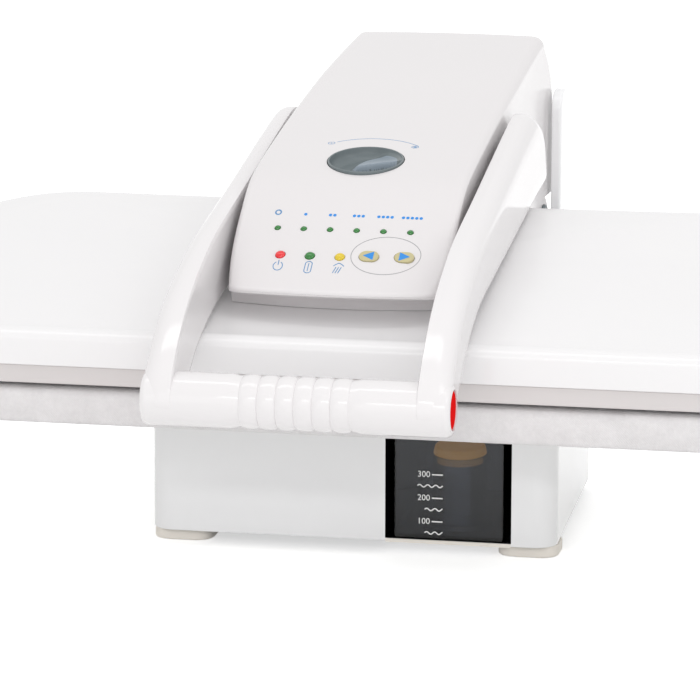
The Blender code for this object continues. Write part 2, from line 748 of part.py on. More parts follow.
def tank_outline(inset):
    """Plan outline of the tank."""
    left = BAY_LEFT_X + TANK_SIDE_GAP + inset
    right = BAY_RIGHT_X - TANK_SIDE_GAP - inset
    low = TANK_FRONT_Y + inset
    high = TANK_FRONT_Y + TANK_DEPTH - inset
    curve = TANK_CORNER - inset
    return rounded(((right, low, curve), (right, high, curve), (left, high, curve), (left, low, curve)), 3)


def make_tank(skins):
    tank = prism("water_tank", tank_outline(0), "Z", TANK_BOTTOM_Z, TANK_TOP_Z, skins["clear"])
    floor = TANK_BOTTOM_Z + TANK_WALL
    cut(tank, prism("inner", tank_outline(TANK_WALL), "Z", floor, TANK_TOP_Z + OVERRUN, None))
    back = placed((BAY_MIDDLE_X, TANK_FRONT_Y + TANK_DEPTH, TANK_BOTTOM_Z + SOCKET_HOLE_HEIGHT), (0, 1, 0))
    hole_radius = VALVE_RADIUS - TANK_WALL + PIN_CLEARANCE
    cut(tank, rod("outlet", hole_radius, back, -OVERRUN, OVERRUN, None, SMALL_SEGMENTS))
    lid_low = TANK_TOP_Z + SEAT_GAP
    lid = prism("tank_lid", tank_outline(0), "Z", lid_low, lid_low + LID_THICKNESS, skins["white"])
    lip = tank_outline(TANK_WALL + SEAT_GAP)
    plug = prism("plug", lip, "Z", lid_low - LID_LIP, lid_low + LID_THICKNESS / 2, None)
    cut(plug, prism("well", tank_outline(TANK_WALL * 2), "Z", lid_low - OVERRUN, lid_low, None))
    weld(lid, plug)
    place = placed((BAY_MIDDLE_X + WELL_SHIFT, WELL_Y, floor + SEAT_GAP))
    bore = WELL_RADIUS - WELL_WALL
    tube_profile = (
        (bore, 0),
        (WELL_BASE_RADIUS, 0),
        (WELL_BASE_RADIUS, WELL_BASE_HEIGHT),
        (WELL_RADIUS, WELL_BASE_HEIGHT),
        (WELL_RADIUS, WELL_HEIGHT),
        (bore, WELL_HEIGHT),
    )
    tube = turned("filter_tube", tube_profile, place, skins["clear"], loop=True)
    cap_low = WELL_HEIGHT + SEAT_GAP
    cap_high = cap_low + FILTER_CAP_HEIGHT
    skirt = cap_low - FILTER_CAP_HEIGHT
    plug_radius = bore - PIN_CLEARANCE
    cap_profile = (
        (0, skirt),
        (plug_radius, skirt),
        (plug_radius, cap_low),
        (WELL_RADIUS - PIN_CLEARANCE, cap_low),
        (FILTER_CAP_RADIUS, cap_high),
        (0, cap_high),
    )
    cap = turned("filter_cap", cap_profile, place, skins["tan"])
    valve_low = SEAT_GAP
    valve_profile = (
        (0, -TANK_WALL),
        (hole_radius - PIN_CLEARANCE, -TANK_WALL),
        (hole_radius - PIN_CLEARANCE, valve_low),
        (VALVE_RADIUS, valve_low),
        (VALVE_RADIUS, VALVE_LENGTH / 2),
        (VALVE_RADIUS / 2, VALVE_LENGTH),
        (0, VALVE_LENGTH),
    )
    valve = turned("tank_valve", valve_profile, back, skins["dark"], SMALL_SEGMENTS)
    return [tank, lid, tube, cap, valve]


# Water path in the base: socket behind the bay, pump and hoses
SOCKET_LENGTH = 0.016
SOCKET_WALL = 0.0018
SOCKET_FLANGE = 0.0025
SOCKET_FLANGE_THICKNESS = 0.002
PUMP_WIDTH = 0.036
PUMP_HEIGHT = 0.040
PUMP_LENGTH = 0.058
PUMP_X = -0.040
PUMP_REAR_GAP = 0.029
PUMP_NOZZLE_RADIUS = 0.0035
PUMP_NOZZLE_LENGTH = 0.010
HOSE_RADIUS = 0.003
HOSE_POINTS = 22
HOSE_END_GAP = 0.0006


def smooth_path(points, count):
    """Points of an even Catmull-Rom curve through the route's own points."""
    spots = [Vector(point) for point in points]
    spots = [spots[0] * 2 - spots[1]] + spots + [spots[-1] * 2 - spots[-2]]
    spans = len(spots) - 3
    path = []
    for index in range(count):
        place = min(index * spans / (count - 1), spans - 1e-9)
        step = int(place)
        t = place - step
        a, b, c, d = spots[step:step + 4]
        square = 2 * a - 5 * b + 4 * c - d
        cube = 3 * b - a - 3 * c + d
        path.append((2 * b + (c - a) * t + square * t ** 2 + cube * t ** 3) / 2)
    return path


def pipe(name, path, radius, surface):
    """Round tube or bar along a path, with closed ends."""
    curve = bpy.data.curves.new(name, "CURVE")
    curve.dimensions = "3D"
    curve.bevel_depth = radius
    curve.bevel_resolution = 1
    curve.use_fill_caps = True
    spline = curve.splines.new("POLY")
    spline.points.add(len(path) - 1)
    for point, spot in zip(spline.points, path):
        point.co = (*spot, 1)
    made = bpy.data.objects.new(name, curve)
    bpy.context.scene.collection.objects.link(made)
    curve.materials.append(surface)
    return made


def make_water_path(skins):
    socket_z = FOOT_HEIGHT + BAY_FLOOR + SOCKET_HOLE_HEIGHT
    wall_back = BAY_BACK_Y + BASE_WALL + SEAT_GAP
    place = placed((BAY_MIDDLE_X, wall_back, socket_z), (0, 1, 0))
    inside = VALVE_RADIUS + PIN_CLEARANCE
    outer = inside + SOCKET_WALL
    profile = (
        (inside, -BASE_WALL),
        (outer - SEAT_GAP, -BASE_WALL),
        (outer - SEAT_GAP, 0),
        (outer + SOCKET_FLANGE, 0),
        (outer + SOCKET_FLANGE, SOCKET_FLANGE_THICKNESS),
        (outer, SOCKET_FLANGE_THICKNESS),
        (outer, SOCKET_LENGTH),
        (HOSE_RADIUS, SOCKET_LENGTH),
        (HOSE_RADIUS, SOCKET_LENGTH - SOCKET_WALL),
        (inside, SOCKET_LENGTH - SOCKET_WALL),
    )
    socket = turned("tank_socket", profile, place, skins["dark"], loop=True)
    floor = FOOT_HEIGHT + FLOOR_PLATE_THICKNESS + SEAT_GAP
    half = PUMP_WIDTH / 2
    pump_back = BASE_BACK_Y - PUMP_REAR_GAP
    pump_y = pump_back - PUMP_LENGTH / 2
    corners = (
        (PUMP_X - half, floor, HOSE_RADIUS),
        (PUMP_X + half, floor, HOSE_RADIUS),
        (PUMP_X + half, floor + PUMP_HEIGHT, half / 2),
        (PUMP_X - half, floor + PUMP_HEIGHT, half / 2),
    )
    pump = prism("water_pump", rounded(corners), "Y", pump_back - PUMP_LENGTH, pump_back, skins["dark"])
    nozzle_z = floor + PUMP_HEIGHT / 2
    inlet = placed((PUMP_X + half, pump_y, nozzle_z), RIGHT, UP)
    outlet = placed((PUMP_X, pump_back, nozzle_z), (0, 1, 0))
    for spot in (inlet, outlet):
        nozzle = rod("nozzle", PUMP_NOZZLE_RADIUS, spot, -OVERRUN, PUMP_NOZZLE_LENGTH, None, SMALL_SEGMENTS)
        weld(pump, nozzle)
    start = (BAY_MIDDLE_X, wall_back + SOCKET_LENGTH + HOSE_END_GAP, socket_z)
    end = (PUMP_X + half + PUMP_NOZZLE_LENGTH + HOSE_END_GAP, pump_y, nozzle_z)
    lead = PUMP_NOZZLE_LENGTH
    route = (
        start,
        (start[0], start[1] + lead, start[2]),
        ((start[0] + end[0]) / 2, (start[1] + lead + end[1]) / 2 + lead, (start[2] + end[2]) / 2),
        (end[0] + lead, end[1], end[2]),
        end,
    )
    hose = pipe("suction_hose", smooth_path(route, HOSE_POINTS), HOSE_RADIUS, skins["dark"])
    return [socket, pump, hose]


# Head: heating plate, rim, shell and the steel arms that carry them
PLATE_BOTTOM_Z = COVER_TOP_Z + SEAT_GAP
PLATE_THICKNESS = 0.0087
PLATE_INSET = 0.008
PLATE_EDGE = 0.002
BOSS_RADIUS = 0.006
BOSS_HEIGHT = 0.0122
BOSS_INSIDE = 0.0035
FRONT_BAR_SETBACK = 0.079
REAR_BAR_SETBACK = 0.050
STEAM_HOLE_RADIUS = 0.0018
STEAM_HOLE_DEPTH = 0.005
STEAM_HOLE_ROWS = 3
STEAM_HOLE_COLUMNS = 9
STEAM_HOLE_PITCH_X = 0.032
STEAM_HOLE_PITCH_Y = 0.038
CHAMBER_LENGTH = 0.300
CHAMBER_BAR_GAP = 0.0225
CHAMBER_HEIGHT = 0.010
CHAMBER_CORNER = 0.012
PLATE_TOP_Z = PLATE_BOTTOM_Z + PLATE_THICKNESS
FRONT_BAR_Y = BOARD_FRONT_Y + FRONT_BAR_SETBACK
REAR_BAR_Y = BOARD_BACK_Y - REAR_BAR_SETBACK
BOSS_X = ARM_INNER_X - BOSS_INSIDE
CHAMBER_DEPTH = REAR_BAR_Y - FRONT_BAR_Y - CHAMBER_BAR_GAP * 2
CHAMBER_Y = (FRONT_BAR_Y + REAR_BAR_Y) / 2
ELEMENT_RADIUS = 0.0032
ELEMENT_LENGTH = 0.500
ELEMENT_FRONT_SETBACK = 0.038
ELEMENT_REAR_SETBACK = 0.034
ELEMENT_BEND = 0.040
TERMINAL_GAP = 0.060
THERMOSTAT_X = 0.190
THERMOSTAT_RADIUS = 0.012
THERMOSTAT_HEIGHT = 0.009


def make_heating_plate(skins):
    levels = (
        (PLATE_INSET + PLATE_EDGE, PLATE_BOTTOM_Z),
        (PLATE_INSET, PLATE_BOTTOM_Z + PLATE_EDGE),
        (PLATE_INSET, PLATE_TOP_Z),
    )
    rings = [[(x, y, z) for x, y in board_outline(inset)] for inset, z in levels]
    plate = skin("heating_plate", rings, skins["aluminium"])
    for y in (FRONT_BAR_Y, REAR_BAR_Y):
        for _, sign in SIDES:
            spot = placed((sign * BOSS_X, y, PLATE_TOP_Z))
            weld(plate, rod("boss", BOSS_RADIUS, spot, -PLATE_EDGE, BOSS_HEIGHT, None, SMALL_SEGMENTS))
    holes = []
    for row in range(STEAM_HOLE_ROWS):
        for column in range(STEAM_HOLE_COLUMNS):
            x = STEAM_HOLE_PITCH_X * (column - (STEAM_HOLE_COLUMNS - 1) / 2)
            y = CHAMBER_Y + STEAM_HOLE_PITCH_Y * (row - (STEAM_HOLE_ROWS - 1) / 2)
            spot = placed((x, y, PLATE_BOTTOM_Z))
            hole = rod("hole", STEAM_HOLE_RADIUS, spot, -OVERRUN, STEAM_HOLE_DEPTH, None, HOLE_SEGMENTS)
            holes.append(hole)
    cut(plate, gathered("holes", holes))
    return plate


def make_plate_fittings(skins):
    half = CHAMBER_LENGTH / 2
    low = CHAMBER_Y - CHAMBER_DEPTH / 2
    high = CHAMBER_Y + CHAMBER_DEPTH / 2
    spots = ((half, low), (half, high), (-half, high), (-half, low))
    outline = rounded([(x, y, CHAMBER_CORNER) for x, y in spots], 3)
    base = PLATE_TOP_Z + SEAT_GAP
    chamber = prism("steam_chamber_cover", outline, "Z", base, base + CHAMBER_HEIGHT, skins["aluminium"])
    edge = chamber.modifiers.new("Edge", "BEVEL")
    edge.width = PLATE_EDGE
    edge.segments = 1
    edge.limit_method = "ANGLE"
    element_z = base + ELEMENT_RADIUS
    left = -ELEMENT_LENGTH / 2
    right = ELEMENT_LENGTH / 2
    front = BOARD_FRONT_Y + ELEMENT_FRONT_SETBACK
    back = BOARD_BACK_Y - ELEMENT_REAR_SETBACK
    middle = (front + back) / 2
    corners = (
        (left, front, ELEMENT_BEND),
        (right, front, ELEMENT_BEND),
        (right, middle - TERMINAL_GAP / 2, 0),
        (right, middle + TERMINAL_GAP / 2, 0),
        (right, back, ELEMENT_BEND),
        (left, back, ELEMENT_BEND),
    )
    outline = rounded(corners, ARC_STEPS + 1)
    turn = 2 * (ARC_STEPS + 2) + 1
    route = outline[turn:] + outline[:turn]
    element = pipe("heating_element", [(x, y, element_z) for x, y in route], ELEMENT_RADIUS, skins["dark"])
    spot = placed((-THERMOSTAT_X, CHAMBER_Y, base))
    thermostat_profile = (
        (0, 0),
        (THERMOSTAT_RADIUS, 0),
        (THERMOSTAT_RADIUS, THERMOSTAT_HEIGHT / 2),
        (THERMOSTAT_RADIUS / 2, THERMOSTAT_HEIGHT / 2),
        (THERMOSTAT_RADIUS / 2, THERMOSTAT_HEIGHT),
        (0, THERMOSTAT_HEIGHT),
    )
    thermostat = turned("thermostat", thermostat_profile, spot, skins["steel"], SMALL_SEGMENTS)
    return [chamber, element, thermostat]


RIM_WIDTH = 0.0052
RIM_INSET = 0.0025
RIM_BOTTOM_LIFT = 0.0006
SKIRT_BOTTOM_Z = 0.1305
SHELL_WALL = 0.003
SHELL_FRONT_Z = 0.146
SHELL_FRONT_TOP_Z = 0.1514
SHELL_BACK_Z = 0.172
SHELL_BACK_TOP_Z = 0.1930
SHELL_FRONT_RADIUS = 0.011
SHELL_BACK_RADIUS = 0.018
SHELL_CROWN = 0.0015
SHELL_END_DROP = 0.012
SHELL_END_LENGTH = 0.115
SHELL_RINGS = 4
SHELL_INNER_SHARES = (0.35, 0.75)
SHELL_MOUTH_SETBACK = 0.067
SHELL_MOUTH_Z = 0.1475


def make_plate_rim(skins):
    inner = PLATE_INSET - SEAT_GAP
    low = PLATE_BOTTOM_Z + RIM_BOTTOM_LIFT
    high = SKIRT_BOTTOM_Z - SEAT_GAP
    levels = ((inner, low), (RIM_INSET, low), (RIM_INSET, high), (inner, high))
    rings = [[(x, y, z) for x, y in board_outline(inset)] for inset, z in levels]
    return skin("plate_rim", rings, skins["beige"], loop=True)


def shell_plane(y):
    """Height of the head's flat top, which rises evenly to the back."""
    return SHELL_FRONT_TOP_Z + (SHELL_BACK_TOP_Z - SHELL_FRONT_TOP_Z) * (y - BOARD_FRONT_Y) / BOARD_DEPTH


def shell_form(name, grow, surface, low=SKIRT_BOTTOM_Z):
    """The head's outer form: skirt, rounded edge and gently crowned top, drawn in by -grow."""
    centre = Vector((0, BOARD_FRONT_Y + BOARD_DEPTH / 2))
    rings = [[] for _ in range(SHELL_RINGS + 2 + len(SHELL_INNER_SHARES))]
    for x, y in board_outline(-grow):
        back = min(max((y - BOARD_FRONT_Y) / BOARD_DEPTH, 0), 1)
        past = max(abs(x) - (BOARD_LENGTH / 2 - SHELL_END_LENGTH), 0) / SHELL_END_LENGTH
        drop = SHELL_END_DROP * past ** 2 * back
        radius = SHELL_FRONT_RADIUS + (SHELL_BACK_RADIUS - SHELL_FRONT_RADIUS) * max(back, past)
        inward = centre - Vector((x, y))
        inward = Vector((inward.x * BOARD_DEPTH / BOARD_LENGTH, inward.y)).normalized()
        edge = Vector((x, y)) + inward * radius
        skirt = SHELL_FRONT_Z + (SHELL_BACK_Z - SHELL_FRONT_Z) * back - drop + grow
        top = shell_plane(edge.y) - drop + grow
        rings[0].append((x, y, low))
        for step in range(SHELL_RINGS + 1):
            angle = math.pi / 2 * step / SHELL_RINGS
            spot = Vector((x, y)).lerp(edge, 1 - math.cos(angle))
            rings[step + 1].append((spot.x, spot.y, skirt + (top - skirt) * math.sin(angle)))
        for index, share in enumerate(SHELL_INNER_SHARES):
            spot = edge.lerp(centre, share)
            height = shell_plane(spot.y) + grow + SHELL_CROWN * share - drop * (1 - share) ** 2
            rings[SHELL_RINGS + 2 + index].append((spot.x, spot.y, height))
    return skin(name, rings, surface)


def make_head_shell(skins):
    shell = shell_form("head_shell", 0, skins["shell"])
    cut(shell, shell_form("cavity", -SHELL_WALL, None, SKIRT_BOTTOM_Z - OVERRUN))
    half = MOUTH_WIDTH / 2
    mouth = block(
        "mouth",
        (-half, BOARD_FRONT_Y + SHELL_MOUTH_SETBACK, SHELL_MOUTH_Z),
        (half, BOARD_FRONT_Y + BOARD_DEPTH + OVERRUN, SHELL_BACK_TOP_Z + SHELL_BACK_RADIUS),
        None,
    )
    return cut(shell, mouth)


CROSS_BAR_WIDTH = 0.022
CROSS_BAR_HEIGHT = 0.009
ARM_THICKNESS = 0.004
ARM_FRONT_REACH = 0.0105
ARM_HINGE_RADIUS = 0.014
ARM_HEIGHT = 0.020
ARM_FRONT_HEIGHT = 0.010
ARM_CORNER = 0.003
BUSH_RADIUS = 0.0078
BUSH_OVERHANG = 0.0004
CROSS_BAR_Z = PLATE_TOP_Z + BOSS_HEIGHT + SEAT_GAP
ARM_BOTTOM_Z = CROSS_BAR_Z + CROSS_BAR_HEIGHT + SEAT_GAP
ARM_OUTER_X = ARM_INNER_X + ARM_THICKNESS
ARM_FRONT_Y = FRONT_BAR_Y - ARM_FRONT_REACH


def make_head_frame(skins):
    made = []
    for end, y in (("front", FRONT_BAR_Y), ("rear", REAR_BAR_Y)):
        low = (-ARM_OUTER_X, y - CROSS_BAR_WIDTH / 2, CROSS_BAR_Z)
        high = (ARM_OUTER_X, y + CROSS_BAR_WIDTH / 2, CROSS_BAR_Z + CROSS_BAR_HEIGHT)
        made.append(block(f"cross_bar_{end}", low, high, skins["steel"]))
    body = (
        (ARM_FRONT_Y, ARM_BOTTOM_Z, 0),
        (HINGE_Y - ARM_HINGE_RADIUS, ARM_BOTTOM_Z, 0),
        (HINGE_Y, HINGE_Z, 0),
        (HINGE_Y - ARM_HINGE_RADIUS, ARM_BOTTOM_Z + ARM_HEIGHT, ARM_CORNER),
        (REAR_BAR_Y, ARM_BOTTOM_Z + ARM_HEIGHT, ARM_HEIGHT),
        (ARM_FRONT_Y, ARM_BOTTOM_Z + ARM_FRONT_HEIGHT, ARM_CORNER),
    )
    for side, sign in SIDES:
        left = min(sign * ARM_INNER_X, sign * ARM_OUTER_X)
        right = max(sign * ARM_INNER_X, sign * ARM_OUTER_X)
        arm = prism(f"head_arm_{side}", rounded(body), "X", left, right, skins["steel"])
        weld(arm, cross_rod("eye", ARM_HINGE_RADIUS, HINGE_Y, HINGE_Z, left, right, None))
        hole = BUSH_RADIUS + PIN_CLEARANCE
        cut(arm, cross_rod("hole", hole, HINGE_Y, HINGE_Z, left - OVERRUN, right + OVERRUN, None))
        made.append(arm)
        bore = HINGE_PIN_RADIUS + RUNNING_CLEARANCE
        inner = ARM_INNER_X - BUSH_OVERHANG
        outer = ARM_OUTER_X + BUSH_OVERHANG
        profile = ((bore, inner), (BUSH_RADIUS, inner), (BUSH_RADIUS, outer), (bore, outer))
        place = placed((0, HINGE_Y, HINGE_Z), RIGHT * sign, UP)
        made.append(turned(f"hinge_bush_{side}", profile, place, skins["brass"], loop=True))
    return made


# Control housing: one lofted moulding over the head arms, with the sloped panel in front
PANEL_SETBACK = 0.025
PANEL_EDGE_Z = 0.177
PANEL_SLOPE = math.radians(33)
PANEL_LENGTH = 0.1172
PANEL_RISE = 0.0622
DECK_SLOPE = math.radians(10.5)
DECK_RADIUS = 3.5
BEND_SOFTNESS = 0.006
HOUSING_REAR_REACH = 0.019
HOUSING_CROWN = 0.0045
HOUSING_SHOULDER = 0.013
HOUSING_BOW_RADIUS = 0.196
HOUSING_CORNER_BACK = 0.019
HOUSING_FLARE = 0.0040
HOUSING_FLARE_HEIGHT = 0.032
HOUSING_FLARE_LENGTH = 0.120
HOUSING_LEAN = 0.013
HOUSING_REAR_ROUND = 0.007
HOUSING_BOTTOM_Z = 0.142
HOUSING_REAR_BOTTOM_Z = 0.171
HINGE_LOBE_RADIUS = 0.018
PANEL_EDGE_Y = BOARD_FRONT_Y + PANEL_SETBACK
DECK_Y = PANEL_EDGE_Y + PANEL_LENGTH
DECK_Z = PANEL_EDGE_Z + PANEL_RISE
HOUSING_REAR_Y = HINGE_Y + HOUSING_REAR_REACH
HOUSING_LOW_Z = HINGE_Z - HINGE_LOBE_RADIUS + HOUSING_CROWN
LIP_HEIGHT = 0.0035
UNDERSIDE_SHARES = ((0.0, 0.0), (0.22, 0.14), (0.60, 0.28), (0.85, 1.0))
UNDERSIDE_LENGTH = 0.042
STATION_SHARES = (0.0, 0.012, 0.04, 0.08, 0.13, 0.20, 0.26, 0.30, 0.36, 0.50, 0.68, 0.84, 0.93, 0.985, 1.0)
ACROSS_SHARES = (0.0, 0.33, 0.67)
SHOULDER_STEPS = 3
WALL_SHARES = (0.35, 1.0)
REAR_TAPER_SHARE = 0.4
LIP_ROUND_SHARE = 0.8
CHIN_SHARE = 0.6
PANEL_SHARE = 0.30


def deck_height(y):
    """Height of the housing's centre line: panel slope and deck curve joined by a soft bend."""
    panel = PANEL_EDGE_Z + math.tan(PANEL_SLOPE) * (y - PANEL_EDGE_Y)
    run = y - DECK_Y
    deck = DECK_Z + math.tan(DECK_SLOPE) * run - run ** 2 / (2 * DECK_RADIUS)
    return (panel + deck - math.hypot(panel - deck, BEND_SOFTNESS)) / 2


def bow(x, y):
    """How far the panel's rows lie back at a half width, fading out over the deck."""
    fade = min(max((DECK_Y - y) / (DECK_Y - PANEL_EDGE_Y), 0), 1)
    fade = fade ** 0.5
    return x ** 2 / (2 * HOUSING_BOW_RADIUS) * fade


def underside(y):
    """Height of the housing's lower edge, rising from the seat to the thin front lip."""
    start = PANEL_EDGE_Z - LIP_HEIGHT
    fall = start - HOUSING_LOW_Z
    run = (y - PANEL_EDGE_Y) / UNDERSIDE_LENGTH
    for (near, high), (far, low) in zip(UNDERSIDE_SHARES, UNDERSIDE_SHARES[1:]):
        if run < far:
            return start - fall * (high + (low - high) * (run - near) / (far - near))
    return HOUSING_LOW_Z


def housing_form(name, inset, surface, low=None):
    """Rings across the housing from the front lip to the rear, drawn in by a wall thickness."""
    front = PANEL_EDGE_Y + inset * 2
    length = HOUSING_REAR_Y - inset - front
    rings = []
    for share in STATION_SHARES:
        y = front + length * share
        to_rear = length * (1 - share)
        top = deck_height(y) - inset
        if to_rear < HOUSING_REAR_ROUND:
            ahead = HOUSING_REAR_ROUND - to_rear
            top -= HOUSING_REAR_ROUND - math.sqrt(HOUSING_REAR_ROUND ** 2 - ahead ** 2)
        back = min(max(1 - (HOUSING_REAR_Y - y) / HOUSING_FLARE_LENGTH, 0), 1)
        flare = HOUSING_FLARE * back
        lean = HOUSING_LEAN * back ** 2
        width = HOUSING_WIDTH / 2 - inset - flare * REAR_TAPER_SHARE
        bottom = underside(y - inset * 2) + inset
        if low is not None and y > PANEL_EDGE_Y + UNDERSIDE_LENGTH * CHIN_SHARE:
            bottom = low
        shoulder = min(HOUSING_SHOULDER, (top - bottom) * LIP_ROUND_SHARE)
        corner = HOUSING_CORNER_BACK * max(1 - share / PANEL_SHARE, 0) ** 2
        half = []
        for across in ACROSS_SHARES:
            x = (width - shoulder) * across
            half.append((x, y + bow(x, y), top - HOUSING_CROWN * (x / width) ** 2))
        for step in range(SHOULDER_STEPS + 1):
            angle = math.pi / 2 * step / SHOULDER_STEPS
            x = width - shoulder + shoulder * math.sin(angle)
            z = top - HOUSING_CROWN * (x / width) ** 2 - shoulder * (1 - math.cos(angle))
            half.append((x, y + bow(x, y) + corner * (1 - math.cos(angle)), z))
        edge = half[-1]
        for wall in WALL_SHARES:
            z = edge[2] + (bottom - HOUSING_CROWN - edge[2]) * wall
            fall = min(max((edge[2] - z) / HOUSING_FLARE_HEIGHT, 0), 1)
            half.append((edge[0] + flare * (2 * fall - fall ** 2), edge[1], z))
        for across in reversed(ACROSS_SHARES):
            x = (width - shoulder) * across
            half.append((x, y + bow(x, y), bottom - HOUSING_CROWN * (x / width) ** 2))
        moved = []
        for x, across_y, z in half:
            fall = min(max((top - z) / HOUSING_FLARE_HEIGHT, 0), 1)
            moved.append((x, across_y + lean * (2 * fall - fall ** 2), z))
        mirrored = [(-x, across_y, z) for x, across_y, z in reversed(moved[1:-1])]
        rings.append(moved + mirrored)
    return skin(name, rings, surface, folded=True)


LED_COUNT = 6
LED_PITCH = 0.0164
LED_RADIUS = 0.0019
LED_RUN = 0.0466
LAMP_X = (-0.0351, -0.0166, 0.0019)
LAMP_RADIUS = 0.0031
LAMP_RUN = 0.0265
BUTTON_X = (0.0194, 0.0406)
BUTTON_LENGTH = 0.0122
BUTTON_WIDTH = 0.0088
BUTTON_RUN = 0.0275
BUTTON_TRAVEL = 0.0015
KNOB_RADIUS = 0.0238
KNOB_Y = DECK_Y
PANEL_NORMAL = Vector((0, -math.sin(PANEL_SLOPE), math.cos(PANEL_SLOPE)))


def panel_spot(x, run):
    """Point of the panel's surface at a width and a run behind the front lip."""
    y = PANEL_EDGE_Y + run
    width = HOUSING_WIDTH / 2
    return Vector((x, y + bow(x, y), deck_height(y) - HOUSING_CROWN * (x / width) ** 2))


def led_spots():
    return [panel_spot(LED_PITCH * (index - (LED_COUNT - 1) / 2), LED_RUN) for index in range(LED_COUNT)]


def oval_outline(length, width):
    """Oval with straight stretches between two half circles."""
    steps = ARC_STEPS + 1
    reach = (length - width) / 2
    points = []
    for sign, begin in ((1, -math.pi / 2), (-1, math.pi / 2)):
        for step in range(steps + 1):
            angle = begin + math.pi * step / steps
            points.append((sign * reach + width / 2 * math.cos(angle), width / 2 * math.sin(angle)))
    return points


def local_prism(name, outline, place, low, high, surface):
    """Extrude an outline along the local Z axis of a placement."""
    rings = [[place @ Vector((a, b, level)) for a, b in outline] for level in (low, high)]
    return skin(name, rings, surface)


KNOB_CLEARANCE = 0.0005
SHAFT_HOLE_CLEARANCE = 0.0006
HOUSING_PIN_HOLE_CLEARANCE = 0.0008
REAR_OPENING_SIDE = 0.016
REAR_OPENING_TOP = 0.022
REAR_OPENING_CORNER = 0.006
REAR_COVER_GAP = 0.0005
CROSS_SHAFT_RADIUS = 0.005


def rear_outline(inset):
    """Outline of the rear cover in X and Z."""
    half = HOUSING_WIDTH / 2 - REAR_OPENING_SIDE - inset
    low = HOUSING_REAR_BOTTOM_Z + inset
    high = deck_height(HOUSING_REAR_Y) - REAR_OPENING_TOP - inset
    upper = REAR_OPENING_CORNER
    lower = REAR_OPENING_CORNER / 2
    return rounded(((half, low, lower), (half, high, upper), (-half, high, upper), (-half, low, lower)))


def lower_outline():
    """Side outline of what is cut away below the housing, leaving a round lobe at the hinge."""
    floor = HOUSING_BOTTOM_Z - ARM_HEIGHT
    rear = HOUSING_REAR_Y + HOUSING_LEAN * 2
    points = [(PANEL_EDGE_Y, floor), (rear, floor), (rear, HOUSING_REAR_BOTTOM_Z)]
    start = math.asin((HOUSING_REAR_BOTTOM_Z - HINGE_Z) / HINGE_LOBE_RADIUS)
    end = -math.pi + math.asin((HINGE_Z - HOUSING_BOTTOM_Z) / HINGE_LOBE_RADIUS)
    for step in range(ROUND_SEGMENTS // 2 + 1):
        angle = start + (end - start) * step / (ROUND_SEGMENTS // 2)
        spot = (HINGE_Y + HINGE_LOBE_RADIUS * math.cos(angle), HINGE_Z + HINGE_LOBE_RADIUS * math.sin(angle))
        points.append(spot)
    points.append((PANEL_EDGE_Y, HOUSING_BOTTOM_Z))
    return points


def make_housing(skins):
    housing = housing_form("control_housing", 0, skins["white"])
    cut(housing, housing_form("cavity", HOUSING_WALL, None, HOUSING_BOTTOM_Z - ARM_HEIGHT))
    cut(housing, shell_form("seat", SEAT_GAP, None, HOUSING_BOTTOM_Z - ARM_HEIGHT))
    width = HOUSING_WIDTH
    holes = (
        (HINGE_PIN_RADIUS + HOUSING_PIN_HOLE_CLEARANCE, HINGE_Y, HINGE_Z),
        (CROSS_SHAFT_RADIUS + SHAFT_HOLE_CLEARANCE, HANDLE_PIVOT_Y, HANDLE_PIVOT_Z),
    )
    for radius, y, z in holes:
        cut(housing, cross_rod("hole", radius, y, z, -width, width, None))
    for _, sign in SIDES:
        near, far = sorted((sign * (CAP_INNER_X - CAP_CLEARANCE), sign * width))
        pocket = CAP_RADIUS + CAP_CLEARANCE
        cut(housing, cross_rod("pocket", pocket, HINGE_Y, HINGE_Z, near, far, None, ROUND_SEGMENTS + 8))
    knob = placed((0, KNOB_Y, deck_height(KNOB_Y)), (0, -math.sin(DECK_SLOPE), math.cos(DECK_SLOPE)))
    depth = HOUSING_WALL * 4
    cut(housing, rod("knob", KNOB_RADIUS + KNOB_CLEARANCE, knob, -depth, depth, None, ROUND_SEGMENTS + 8))
    cutters = []
    for spot in led_spots():
        place = placed(spot, PANEL_NORMAL)
        cutters.append(rod("led", LED_RADIUS + SEAT_GAP, place, -depth, depth, None, TINY_SEGMENTS))
    for x in LAMP_X:
        spot = placed(panel_spot(x, LAMP_RUN), PANEL_NORMAL)
        cutters.append(rod("lamp", LAMP_RADIUS + SEAT_GAP, spot, -depth, depth, None, SMALL_SEGMENTS))
    for x in BUTTON_X:
        spot = placed(panel_spot(x, BUTTON_RUN), PANEL_NORMAL)
        outline = oval_outline(BUTTON_LENGTH + RUNNING_CLEARANCE * 2, BUTTON_WIDTH + RUNNING_CLEARANCE * 2)
        cutters.append(local_prism("button", outline, spot, -depth, depth, None))
    cut(housing, gathered("panel_holes", cutters))
    rear = HOUSING_REAR_Y + HOUSING_LEAN * 2
    cut(housing, prism("opening", rear_outline(0), "Y", HOUSING_REAR_Y - depth, rear, None))
    return cut(housing, prism("below", lower_outline(), "X", -width, width, None))


VENT_SLOT_COUNT = 5
VENT_SLOT_PITCH = 0.009
VENT_SLOT_WIDTH = 0.060
VENT_SLOT_HEIGHT = 0.003


